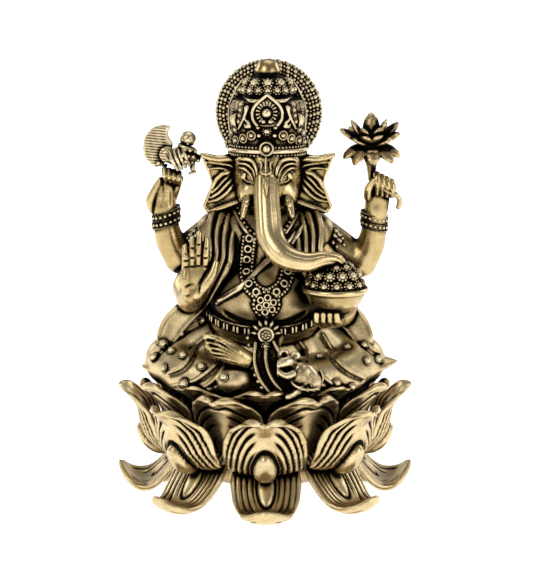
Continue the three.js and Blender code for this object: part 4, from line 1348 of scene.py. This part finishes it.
class FIGURE_OT_ears(bpy.types.Operator):
    """Models the two ears as fans of folds that run in to the head"""

    bl_idname = "figure.ears"
    bl_label = "Ears"

    OUTLINE = [(-15.0, 79.2), (-11.6, 78.5), (-7.6, 79.4), (-4.6, 79.4), (-4.0, 68.6), (-6.1, 68.0), (-9.5, 66.6),
               (-13.2, 65.5), (-14.5, 67.2), (-13.8, 69.4), (-12.7, 71.9), (-13.0, 74.2), (-14.2, 76.8)]
    # The ridges of the folds and their widths, from the rim in towards the head.
    RIDGES = [([(-14.7, 78.9), (-11.7, 78.0), (-8.6, 78.1), (-6.0, 77.6)], 0.85),
              ([(-14.0, 77.4), (-10.9, 77.0), (-8.4, 76.6), (-6.6, 75.4)], 0.42),
              ([(-13.2, 75.8), (-10.9, 76.0), (-8.9, 75.4), (-7.2, 74.6)], 0.36),
              ([(-14.6, 78.6), (-13.8, 76.4), (-12.9, 74.0), (-12.6, 72.6)], 0.32),
              ([(-12.5, 71.6), (-11.6, 73.4), (-10.1, 74.7), (-7.6, 75.2)], 0.62),
              ([(-12.7, 70.3), (-11.4, 71.5), (-10.1, 73.0), (-8.4, 74.5)], 0.42),
              ([(-13.0, 69.2), (-11.1, 70.3), (-9.4, 72.0), (-7.6, 73.8)], 0.46),
              ([(-13.3, 68.3), (-11.4, 68.8), (-9.2, 70.3), (-7.4, 72.6)], 0.5),
              ([(-12.6, 71.9), (-13.6, 69.2), (-14.3, 67.4), (-13.2, 66.2)], 0.4),
              ([(-13.2, 66.1), (-10.6, 66.9), (-8.2, 67.8), (-5.4, 68.8)], 0.7)]

    def execute(self, context):
        x0 = middle_of("crown")[0]
        for side, name in SIDES:
            name = f"{name}_ear"
            wax = Wax(name, room=3, cell=0.18)
            spread = np.array([-side, 1])

            def dish(x, _):
                """The ear bends forward to its rim, at every height alike."""
                return -3.2 - 0.012 * (np.abs(x - x0) - 7) ** 2

            outline = curve2([*self.OUTLINE, self.OUTLINE[0]], 0.5)
            wax.plate(outline * spread + (x0, 0), dish, 0.8, blend=0, edge=0.4)
            for ridge, width in self.RIDGES:
                places = curve2(ridge, 1.0) * spread + (x0, 0)
                at = np.column_stack([places[:, 0], dish(places[:, 0], places[:, 1]) - 0.75, places[:, 1]])
                wax.bar(at, width * np.interp(np.linspace(0, 1, len(at)), [0, 0.2, 0.8, 1], [0.7, 1, 1, 0.4]),
                        flat=1.25, blend=0.12, step=2)
            wax.cast(name, "polished_brass", name)
        return DONE


class FIGURE_OT_crown(bpy.types.Operator):
    """Models the crown with its medallion, scrolls, leaves and rows of beads"""

    bl_idname = "figure.crown"
    bl_label = "Crown"

    AXIS_Y = -2.4
    ASIDE = 0.1  # how far left of the crown's axis the ornament is centred

    def execute(self, context):
        x0 = middle_of("crown")[0]
        wax = Wax("crown", room=2.6, cell=0.17)
        low = box_of("crown")[0][2]
        profile = [(0, low - 0.8), (8.5, low - 0.8), (8.7, low - 0.3), (8.7, low + 0.7), (8.6, low + 1.5),
                   (8.4, low + 2.4), (8.7, 84.5), (9.0, 87.6), (8.6, 90.0), (7.8, 91.3), (5.6, 91.8), (5.3, 92.4),
                   (6.0, 93.0), (5.7, 94.4), (4.9, 95.3), (4.0, 96.2), (0, 96.9)]
        wax.turned(profile, (x0, self.AXIS_Y), squash=0.94, blend=0)
        relief = Wax("crown", room=2.6, cell=0.17)
        seam = x0 - self.ASIDE
        for side in both_sides([(-4.9, 92.0), (-3.2, 91.4), (-1.2, 91.4)], seam):
            relief.bar(wax.front(side, out=0.25), [0.25, 0.5, 0.4], blend=0)
        # The medallion is a pointed leaf, held a little in front of the crown by its rim.
        leaf = [(0, 93.0), (-1.3, 91.9), (-2.7, 90.5), (-3.35, 89.0), (-3.2, 87.6), (-2.3, 86.3)]
        outline = curve2([(seam + x, z) for x, z in leaf + [(0, 85.9)] + [(-x, z) for x, z in leaf[::-1]]])
        wax.plate(outline, lambda x, z: -11.15 + 0.05 * (x - x0) ** 2, 0.35, blend=0.1)
        for half in both_sides(leaf, 0):
            rim = [(seam + x, -11.5 + 0.05 * x * x, z) for x, z in half]
            relief.bar(rim, 0.34, blend=0)
        scroll = [(-4.0, 89.9), (-4.2, 89.0), (-4.8, 87.5), (-5.4, 86.2), (-5.9, 85.2)]
        hook = [(-4.5, 87.9), (-4.3, 87.2), (-3.6, 86.8), (-3.5, 86.0), (-4.2, 85.8), (-4.6, 86.4)]
        border = [(-4.9, 95.8), (-6.5, 93.6), (-7.7, 90.8), (-8.1, 88.2), (-7.9, 84.4)]
        side_leaf = [(-6.4, 88.4), (-6.9, 87.2), (-6.6, 86.0)]
        for route, widths, out in ((scroll, [0.65, 0.4, 0.3, 0.3, 0.2], 0.25),
                                   (hook, [0.2, 0.25, 0.4, 0.55, 0.4, 0.2], 0.2),
                                   (border, 0.26, 0.15), (side_leaf, [0.3, 1.0, 0.4], 0.1)):
            for half in both_sides(route, seam):
                relief.bar(wax.front(half, out=out), widths, blend=0, step=0.5)
        relief.bar(ring((x0, self.AXIS_Y, low + 0.75), (8.75, 8.25), 36), 0.55, blend=0)
        relief.cast("crown_relief", "jewel_brass", stain=-0.25)
        wax.cast("crown", "jewel_brass", "crown", stain=0.3)
        self.jewels(wax, x0, low)
        return DONE

    def jewels(self, wax, x0, low):
        """Rosettes, ringed stones and rows of beads over the crown."""
        made = Jewels()
        seam = x0 - self.ASIDE

        def round_rows(level, number, size, start=-90, **kind):
            """Jewels all round the crown at one level."""
            angles = np.radians(start + np.arange(number) * 360 / number)
            outward = np.column_stack([np.cos(angles), np.sin(angles), np.zeros(number)])
            at = np.array([x0, self.AXIS_Y, level])
            places = np.vstack([wax.touch(at + 14 * way, -way) for way in outward])
            made.lay(wax, places, size, **kind)

        rosette = dict(dome=0.72, height=1.0, petal_size=0.26, petal_circle=0.8)
        round_rows(95.2, 10, 1.3, petals=8, **rosette)
        round_rows(93.6, 17, 1.0, petals=8, **rosette)
        round_rows(low + 1.6, 60, 0.34)
        round_rows(low - 0.15, 60, 0.38, start=-87)
        boss = wax.front([(0.35, 89.0)])
        made.lay(wax, boss, 1.1, height=0.8)
        angles = np.radians(np.arange(-52, 233, 20))
        rays = wax.front(np.column_stack([0.35 + 1.55 * np.cos(angles), 89.0 + 1.55 * np.sin(angles) * 1.12]))
        for place in rays:
            way = place - boss[0]
            made.set([place, place + way * 0.2, place + way * 0.4], TO_THE_FRONT, [0.2, 0.23, 0.26])
        for half in both_sides([(-0.35, 87.1), (-1.5, 85.75), (-1.35, 83.9)], 0.4):
            made.lay(wax, wax.front(half), 0.52, height=0.9)
        made.lay(wax, wax.front([(0.4, 84.9)]), 1.0, dome=0.7, petals=10, petal_size=0.17, petal_circle=0.85)
        collet = dict(dome=0.62, height=1.0, collet=0.93, collet_wire=0.22)
        made.lay(wax, wax.front([(0.35, 80.9)]), 1.6, sink=-0.4, dome=0.6, height=0.75, collet=0.9,
                 collet_wire=0.17)
        for half in both_sides([(-3.0, 83.9), (-4.8, 83.1), (-6.4, 82.5), (-7.7, 81.9), (-8.6, 81.5)], seam):
            made.lay(wax, wax.front(half), 1.02, **collet)
        for half in both_sides([(-5.2, 90.6), (-5.3, 89.4), (-5.5, 88.2), (-5.7, 86.9), (-6.6, 85.0),
                                (-7.4, 84.2)], seam):
            made.lay(wax, wax.front(half), 0.78, petals=7, **rosette)
        for half in both_sides([(-4.4, 94.9), (-5.9, 93.2), (-6.9, 90.5), (-7.3, 88.2), (-7.3, 86.0)], seam):
            made.lay(wax, wax.front(along(curve2(half), 0.66)), 0.24)
        made.piece("crown_jewels", "jewel_brass", stain=-0.22)


class FIGURE_OT_halo(bpy.types.Operator):
    """Makes the round halo behind the crown, its rim covered in granules, and the finial on top"""

    bl_idname = "figure.halo"
    bl_label = "Halo and finial"

    def execute(self, context):
        low, high = box_of("crown_halo")
        at = (low + high) / 2
        reach = (high[0] - low[0]) / 2
        depth = (high[1] - low[1]) / 2
        wax = Wax("crown_halo", room=2.5, cell=0.24)
        wax.plate(on_circle(at[[0, 2]], reach * 0.985, turns(40)), at[1], depth, blend=0, edge=1.1)
        back = ring((at[0], 0, 0), (reach * 0.62, reach * 0.62), 32)
        wax.bar([(x, high[1], at[2] + z) for x, z, _ in back], 0.7, blend=0.3)
        wax.egg((at[0], high[1] - 0.2, at[2]), (2.6, 1.2, 2.6), blend=0.3)
        wax.cast("crown_halo", "jewel_brass", "crown_halo", stain=0.35)
        granules = Jewels()
        for k, (out, forward) in enumerate(((0.15, 0.0), (0.0, 0.45), (-0.7, 0.86), (-1.5, 1.0), (-2.3, 1.0),
                                            (-3.1, 1.0), (-0.2, -0.45), (-0.7, -0.86))):
            radius = reach + out
            number = int(2 * math.pi * radius / 0.92)
            angles = turns(number, 0.5 * k)
            places = np.column_stack([at[0] + radius * np.cos(angles), np.full(number, at[1] - forward * depth),
                                      at[2] + radius * np.sin(angles)])
            ahead = -np.sign(forward) * abs(forward) ** 2
            facings = np.column_stack([np.cos(angles) * (1.05 - abs(forward)), np.full(number, ahead),
                                       np.sin(angles) * (1.05 - abs(forward))])
            sizes = 0.47 + 0.12 * np.sin(angles * 37 + k)
            granules.set(places, facings, sizes)
        granules.piece("halo_granules", "jewel_brass")
        top = box_of("crown_finial")
        tip, foot = top[1][2], top[0][2]
        profile = [(0, foot - 1), (3.1, foot - 1), (3.4, foot - 0.7), (3.1, foot - 0.4), (2.5, foot - 0.3),
                   (2.9, foot + 0.2),
                   (2.8, foot + 0.9), (2.2, tip - 0.9), (1.2, tip - 0.25), (0, tip)]
        at = middle_of("crown_finial")
        finish_piece(turned_mesh("crown_finial", profile, at, 64), "crown_finial", "polished_brass", "crown_finial",
                     stain=0.2)
        return DONE


class FIGURE_OT_belt(bpy.types.Operator):
    """Makes the ribbed belt, its round buckle with rays above, and the bead that hangs under it"""

    bl_idname = "figure.belt"
    bl_label = "Belt and buckle"

    def execute(self, context):
        wax = Wax("belt", room=2.5, cell=0.2)
        low, high = box_of("belt")
        reach = (high - low)[:2] / 2 - (1.3, 0.8)
        middle = (low + high) / 2 + (0, 0.5, 1.83)
        slope = 0.26
        for height, width, out in ((0.0, 0.9, -0.7), (1.0, 0.3, 0.1), (-0.9, 0.22, 0.0)):
            wax.bar(ring(middle + (0, 0, height), reach + out, 40, tilt=(0, slope)), width, blend=0.15)
        ribs = Wax("belt", room=2.5, cell=0.2)
        for k, place in enumerate(ring(middle, reach + 0.3, 96, tilt=(0, slope))[:-1]):
            if k % 3:
                ribs.bar([place + (0, 0, -0.6), place + (0, 0, 0.55)], 0.3, blend=0)
        wax.cast("belt", "jewel_brass", "belt", stain=0.4)
        ribs.cast("belt_ribs", "jewel_brass", stain=-0.2)
        centre = middle_of("belt_buckle")
        face = box_of("belt_buckle")[0][1] - 0.1
        buckle = Wax("belt_buckle", room=3, cell=0.18)
        disc = centre[[0, 2]]
        buckle.plate(on_circle(disc, 1.75, turns(28)), centre[1], centre[1] - face, blend=0, edge=0.3)
        loop = ring((centre[0], 0, 0), (1.55, 1.55), 20)
        buckle.bar([(x, face, centre[2] + z) for x, z, _ in loop], 0.3, blend=0.1)
        for angle in np.radians(np.linspace(4, 176, 7)):
            way = np.array([math.cos(angle), 0, math.sin(angle)])
            start = np.array([centre[0], face + 1.0, centre[2]]) + way * 1.9
            ray = [start, start + way * 0.7 + (0, 0.2, 0), start + way * 1.35 + (0, 0.4, 0)]
            buckle.bar(ray, [0.34, 0.4, 0.2], blend=0.05)
        buckle.cast("belt_buckle", "jewel_brass", "belt_buckle")
        beads = Jewels()
        beads.lay(buckle, buckle.front(np.vstack([disc, on_circle(disc, 0.75, turns(7))])), 0.34)
        hang = np.array([centre[0] - 0.1, face - 0.5, centre[2] - 2.5])
        beads.set(hang, TO_THE_FRONT, 1.0, dome=0.62, petals=8, petal_size=0.22, petal_circle=0.8)
        beads.piece("buckle_beads", "jewel_brass")
        return DONE


class FIGURE_OT_necklace(bpy.types.Operator):
    """Makes the garland of ring flowers with bead borders, its pendant, the thread and the neck cords"""

    bl_idname = "figure.necklace"
    bl_label = "Garland and thread"

    GARLAND = [(-3.5, 60.9), (-3.7, 59.4), (-3.9, 57.9), (-4.1, 55.1), (-4.0, 52.7), (-2.8, 50.4), (0.3, 49.0),
               (3.4, 50.4), (4.8, 52.7), (5.4, 56), (5.4, 58.4)]

    def execute(self, context):
        body = BLOCKS["torso"]
        band = Wax("necklace", "necklace_pendant", room=3, cell=0.22)
        route = curve2(self.GARLAND, 0.6)
        on_body = body.front(route, out=0.3)
        band.bar(on_body, 1.0, flat=0.45, blend=0, step=2)
        pendant = np.array([0.3, 47.0])
        plate = body.front([pendant], out=0.5)[0]
        band.egg(plate + (0, 0.3, 0), (2.7, 0.9, 2.6), blend=0.2)
        drop = [plate + (0, -0.2, -2.2), plate + (0, 0.2, -3.6), plate + (0, 0.9, -4.6)]
        band.bar(drop, [0.5, 0.8, 0.2], blend=0.1)
        band.cast("necklace", "jewel_brass", "necklace", "necklace_pendant", stain=0.5)
        jewels = Jewels()
        flower = dict(dome=0.02, height=0.02, collet=0.72, collet_wire=0.27)
        rings = [place for place in along(route, 2.35) if np.hypot(*(place - pendant)) > 2.7]
        jewels.lay(band, band.front(rings), 1.0, **flower)
        spots = np.vstack([pendant, on_circle(pendant, 1.62, turns(6, 0.35))])
        jewels.lay(band, band.front(spots), 0.88, **flower)
        slope = unit(np.gradient(route, axis=0))
        for side in (-1, 1):
            edge = along(route + side * 1.2 * slope[:, ::-1] * (1, -1), 0.78)
            rows = np.array([place for place in edge if np.hypot(*(place - pendant)) > 3.1])
            jewels.lay(body, body.front(rows, out=0.4), 0.42)
        jewels.lay(body, body.front(on_circle(pendant, 2.75, turns(18)), out=0.5), 0.46)
        strings = [[(-6.1, 66.8), (-5.4, 65.1), (-4.4, 63.6), (-3.6, 62.6), (-2.4, 61.8)],
                   [(6.9, 66.5), (6.0, 64.8), (5.2, 63.6), (4.4, 62.6)], [(6.4, 60.6), (6.0, 59.6)]]
        for string in strings:
            jewels.lay(body, body.front(along(curve2(string, 0.5), 0.98), out=0.2), 0.44)
        jewels.piece("garland_flowers", "jewel_brass")

        thread = Wax("sacred_thread", room=2.5, cell=0.18)
        places = np.array([(9.2, 64.6), (5.6, 60.4), (2.2, 57.2), (-1.0, 54.6), (-4.4, 51.4), (-7.4, 49.2),
                           (-10.6, 46.6)])
        for shift in (-0.42, 0.42):
            line = places + (0.5 * shift, 0.9 * shift)
            thread.bar(body.front(line, out=0.35), 0.5, blend=0.05, step=0.6)
        thread.cast("sacred_thread", "jewel_brass", "sacred_thread")
        cords = Wax("torso", room=2.5, cell=0.24)
        for line, width in (([(-7.9, 67.4), (-5.2, 63.6), (-2.5, 60.4)], 0.45),
                            ([(10.4, 66.0), (8.2, 62.6), (6.1, 59.6)], 0.7),
                            ([(8.4, 66.9), (6.4, 64.2), (4.7, 62)], 0.4)):
            cords.bar(body.front(line, out=0.3), width, blend=0.1)
        cords.cast("neck_cords", "jewel_brass")
        return DONE


class FIGURE_OT_mouse(bpy.types.Operator):
    """Models the mouse that sits before the pleat with a sweet in its paws and a figured blanket"""

    bl_idname = "figure.mouse"
    bl_label = "Mouse"

    def execute(self, context):
        wax = Wax("mouse", room=3, cell=0.17)
        wax.bar([(9.6, -23.2, 30.6), (8.2, -23.6, 32.4), (6.6, -23.6, 34.0)], [2.9, 3.0, 2.0], flat=0.85, blend=0)
        wax.egg((5.0, -23.6, 35.6), (2.0, 1.9, 1.7), lean=25, blend=0.5)
        wax.bar([(4.4, -24.6, 35.6), (2.9, -25.2, 35.1), (1.8, -25.4, 34.6)], [1.3, 0.95, 0.5], blend=0.4)
        for x, z in ((4.2, 37.3), (6.6, 36.9)):
            wax.egg((x, -24.0, z), (1.15, 0.6, 1.1), blend=0.15)
            wax.egg((x, -24.7, z), (0.7, 0.5, 0.7), blend=0.1, cut=True)
        wax.egg((3.6, -25.2, 36.2), (0.42, 0.35, 0.42), blend=0.05)
        wax.bar([(6.2, -25.4, 33.2), (4.6, -26.0, 32.8), (3.2, -25.8, 33.6)], [0.95, 0.75, 0.6], blend=0.1)
        wax.egg((2.9, -25.4, 33.6), (1.1, 0.9, 1.0), blend=0.05)
        wax.bar([(8.2, -25.0, 29.6), (6.6, -25.6, 28.4), (5.0, -25.8, 28.0)], [1.5, 1.0, 0.7], blend=0.2)
        wax.bar([(10.8, -23.8, 29.4), (9.8, -24.6, 28.2), (8.6, -25.0, 27.8)], [1.3, 1.0, 0.7], blend=0.15)
        wax.bar([(11.6, -22.2, 29.6), (12.6, -21.8, 31.2), (12.2, -21.4, 33.0)], [0.6, 0.5, 0.3], blend=0.2)
        blanket = [(7.2, 34.8), (5.9, 31.4), (8.4, 29.9), (11.4, 29.6)]
        wax.bar(wax.front(blanket, out=0.1), 0.36, blend=0.1)
        wax.cast("mouse", "jewel_brass", "mouse", stain=0.06)
        studs = Jewels()
        spots = [(7.6 + 1.25 * i + 0.5 * (j % 2), 34.0 - 1.2 * j - 0.55 * i) for j in range(4) for i in range(3)]
        studs.lay(wax, wax.front(spots), 0.42, dome=0.6, petals=6, petal_size=0.3, petal_circle=0.9)
        studs.piece("mouse_blanket_studs", "jewel_brass")
        return DONE


class FIGURE_OT_studs(bpy.types.Operator):
    """Sets the flat studs on the dhoti and the string of beads down the middle"""

    bl_idname = "figure.studs"
    bl_label = "Studs"

    LEFT = [(-23, 36.9), (-25.2, 34.3), (-21.0, 35.6), (-18.3, 35), (-22.5, 32.2), (-14.1, 33.3), (-17.9, 29.6),
            (-9.0, 31.6), (-12.4, 28.4), (-14.3, 41.2), (-19.3, 38.8)]
    RIGHT = [(14.5, 41), (17.1, 40.2), (19.1, 39.4), (18.6, 36.1), (22.5, 36.5), (12.2, 34.7), (15.9, 29.8),
             (22.8, 33.6), (19.2, 28.6), (25.4, 33.4)]
    STRING = [(-3.8, 39.4), (-3.3, 36.4), (-2.4, 32.6), (-0.7, 29.4)]

    def execute(self, context):
        cloth = BLOCKS["dhoti"]
        studs = Jewels()
        studs.lay(cloth, cloth.front(self.LEFT + self.RIGHT), 0.98, sink=-0.3, dome=0.92, height=0.95, collet=0.95,
                  collet_wire=0.14)
        string = along(curve2(self.STRING), 1.5)
        pleat = BLOCKS["dhoti_pleat"]
        studs.lay(pleat, pleat.front(string), 0.62, dome=0.9, height=0.8)
        studs.piece("dhoti_studs", "jewel_brass")
        return DONE


# ---------------------------------------------------------------------------------------------------------------
# The finish and the studio.


class FIGURE_OT_patina(bpy.types.Operator):
    """Works out where the blackening wash stays: in recesses, and not on relief that a cloth would rub"""

    bl_idname = "figure.patina"
    bl_label = "Patina"

    def execute(self, context):
        settings = context.scene.figure_finish
        cell, band = 0.36, 9  # millimetres to a cell, and cells to each side of the metal
        meshes = [piece.data for piece in PIECES]
        corners, triangles, start = [], [], 0
        for mesh in meshes:
            mesh.calc_loop_triangles()
            corners.append(read(mesh.vertices, "co") / MM)
            triangles.append(read(mesh.loop_triangles, "vertices", kind=np.int32) + start)
            start += len(corners[-1])
        low = np.vstack(corners).min(0) - band * cell
        counts = np.ceil((np.vstack(corners).max(0) + band * cell - low) / cell).astype(int)
        grid = openvdb.FloatGrid.createLevelSetFromPolygons(
            (np.vstack(corners) - low) / cell, triangles=np.vstack(triangles), halfWidth=band)
        field = np.full(counts, band, np.float32)
        grid.copyToArray(field)
        field *= cell

        def sample(points):
            return between_cells(field, (points - low) / cell)

        for piece, mesh, place in zip(PIECES, meshes, corners):
            normals = read(mesh.vertex_normals, "vector")
            hidden = np.zeros(len(place))
            # A little way out from open metal the field is as large as that way; in a recess it is less.
            for away, share in ((0.5, 0.3), (0.9, 0.3), (1.6, 0.25), (2.8, 0.15)):
                hidden += share * np.clip(1 - sample(place + normals * away) / away, 0, 1.2)
            # Relief: the mean of the field round a point is above its own value on a ridge, below it in a groove.
            reach = 0.55
            round_about = sum(sample(place + d) for d in np.vstack([np.eye(3), -np.eye(3)]) * reach) / 6
            ridge = (round_about - sample(place)) / reach
            # Each piece's offset comes in here; on the arms part of it is painted shade.
            wash = settings.coverage * hidden + STAINS[piece.name] - settings.rubbing * ridge
            if "groove" in mesh.attributes:
                wash = wash + GROOVE_WASH * read(mesh.attributes["groove"].data, "value", 1)[:, 0]
            write_values(mesh, "patina", np.clip(wash, 0, 1))
        return DONE


class FIGURE_OT_studio(bpy.types.Operator):
    """Makes the pale floor, the soft lights and the camera"""

    bl_idname = "figure.studio"
    bl_label = "Studio"

    def execute(self, context):
        settings = context.scene.figure_studio
        scene = context.scene
        floor_mesh = bpy.data.meshes.new("studio_floor")
        half = settings.floor_size / 2
        floor_mesh.from_pydata([(-half, -half, 0), (half, -half, 0), (half, half, 0), (-half, half, 0)], [],
                               [(0, 1, 2, 3)])
        paper = bpy.data.materials.new("matt white paper sweep")
        paper.use_nodes = True
        shader = paper.node_tree.nodes["Principled BSDF"]
        shader.inputs["Base Color"].default_value = linear("#f7f7f5")
        shader.inputs["Roughness"].default_value = 0.9
        shader.inputs["Emission Color"].default_value = linear("#ffffff")
        shader.inputs["Emission Strength"].default_value = settings.paper_glow
        floor_mesh.materials.append(paper)
        floor = bpy.data.objects.new("studio_floor", floor_mesh)
        scene.collection.objects.link(floor)
        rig.stage(floor)

        world = bpy.data.worlds.new("Soft room")
        world.use_nodes = True
        tree = world.node_tree
        # The room is bright at the level of the paper and dims towards the ceiling.
        ray = node(tree, "ShaderNodeTexCoord").outputs["Generated"]
        height = node(tree, "ShaderNodeSeparateXYZ", {0: ray}).outputs["Z"]
        dim = node(tree, "ShaderNodeMapRange", {"Value": height, "From Min": 0.06, "From Max": 0.5, "To Min": 1.0,
                   "To Max": settings.ceiling}, interpolation_type="SMOOTHSTEP").outputs["Result"]
        strength = node(tree, "ShaderNodeMath", {0: dim, 1: settings.room_light}, operation="MULTIPLY").outputs[0]
        tree.links.new(strength, tree.nodes["Background"].inputs["Strength"])
        tree.nodes["Background"].inputs["Color"].default_value = (1, 1, 1, 1)
        scene.world = world

        low, high = (np.array(corner) for corner in CAD_BOX)
        height = high[2] - low[2]
        target = Vector((0, 0, height / 2 - 0.00025))
        lights = [  # name, place over the figure's height, size over it, share of the power
            ("key softbox", (-3.4, -4.2, 4.2), 3.6, 1.0),
            ("fill softbox", (4.0, -3.4, 2.4), 3.2, 0.55),
            ("top softbox", (0.4, 0.8, 6.0), 4.5, 0.8),
            ("rim strip", (-4.4, 3.0, 3.0), 2.6, 0.5),
            ("other rim strip", (4.4, 3.0, 3.0), 2.6, 0.5),
        ]
        for name, place, size, share in lights:
            lamp = bpy.data.lights.new(name, "AREA")
            lamp.shape = "SQUARE"
            lamp.size = size * height
            lamp.energy = settings.light_power * share
            lamp_object = bpy.data.objects.new(name, lamp)
            lamp_object.location = Vector(place) * height
            aim = target - lamp_object.location
            lamp_object.rotation_euler = aim.to_track_quat("-Z", "Y").to_euler()
            scene.collection.objects.link(lamp_object)

        camera = bpy.data.cameras.new("Camera")
        camera.sensor_width = 36
        camera.lens = settings.lens
        camera.shift_x, camera.shift_y = settings.shift
        camera.clip_start = 0.01
        camera_object = bpy.data.objects.new("Camera", camera)
        tilt = settings.camera_tilt
        back = settings.camera_distance
        camera_object.location = target + Vector((0, -back * math.cos(tilt), back * math.sin(tilt)))
        camera_object.rotation_euler = (math.pi / 2 - tilt, 0, 0)
        scene.collection.objects.link(camera_object)
        scene.camera = camera_object
        scene.view_settings.view_transform = "Standard"
        return DONE


class FigureFinish(bpy.types.PropertyGroup):
    """How the wash and the rubbing leave the metal"""

    coverage: FloatProperty(name="Coverage", description="How much wash stays in the recesses", default=1.3,
                            min=0, soft_max=3)
    rubbing: FloatProperty(name="Rubbing", description="How far the relief is rubbed bright", default=0.9,
                           min=0, soft_max=3)


class FigureStudio(bpy.types.PropertyGroup):
    """The studio round the figure"""

    floor_size: FloatProperty(name="Floor", description="Side of the paper sweep", default=16.0, unit="LENGTH")
    room_light: FloatProperty(name="Room light", description="Strength of the even light of the room", default=1.0)
    ceiling: FloatProperty(name="Ceiling", description="How bright the ceiling is beside the walls", default=0.3)
    paper_glow: FloatProperty(name="Paper glow", description="Light that comes through the lit paper", default=0.9)
    light_power: FloatProperty(name="Key power", description="Power of the key softbox", default=1.2, unit="POWER")
    lens: FloatProperty(name="Lens", description="Focal length in millimetres", default=116.7, unit="CAMERA")
    camera_distance: FloatProperty(name="Distance", description="From the camera to the figure's middle",
                                   default=0.42, unit="LENGTH")
    camera_tilt: FloatProperty(name="Tilt", description="How far the camera looks down", default=math.radians(10),
                               subtype="ANGLE", unit="ROTATION")
    shift: FloatVectorProperty(name="Shift", description="Lens shift that centres the figure", size=2,
                               default=(0.0027, -0.0048))


class FIGURE_PT_panel(bpy.types.Panel):
    """Lists the makers of the figure's pieces"""

    bl_idname = "FIGURE_PT_panel"
    bl_label = "Lotus figure"
    bl_space_type = "VIEW_3D"
    bl_region_type = "UI"
    bl_category = "Figure"

    def draw(self, context):
        for maker in MAKERS:
            self.layout.operator(maker.bl_idname)
        for group in (context.scene.figure_finish, context.scene.figure_studio):
            for key in group.__annotations__:
                self.layout.prop(group, key)


MAKERS = [cls for name, cls in list(globals().items()) if name.startswith("FIGURE_OT_")]
CLASSES = [FigureFinish, FigureStudio, *MAKERS, FIGURE_PT_panel]


def register():
    for cls in CLASSES:
        bpy.utils.register_class(cls)
    bpy.types.Scene.figure_finish = PointerProperty(type=FigureFinish)
    bpy.types.Scene.figure_studio = PointerProperty(type=FigureStudio)


def unregister():
    del bpy.types.Scene.figure_finish
    del bpy.types.Scene.figure_studio
    for cls in reversed(CLASSES):
        bpy.utils.unregister_class(cls)


def main():
    register()
    for maker in MAKERS:
        family, action = maker.bl_idname.split(".")
        getattr(getattr(bpy.ops, family), action)()
    with open("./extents.json", "w") as out:
        json.dump({"cad": CAD_BOX, "visual": [list(corner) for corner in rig.bounds()]}, out)


if __name__ == "__main__":
    main()
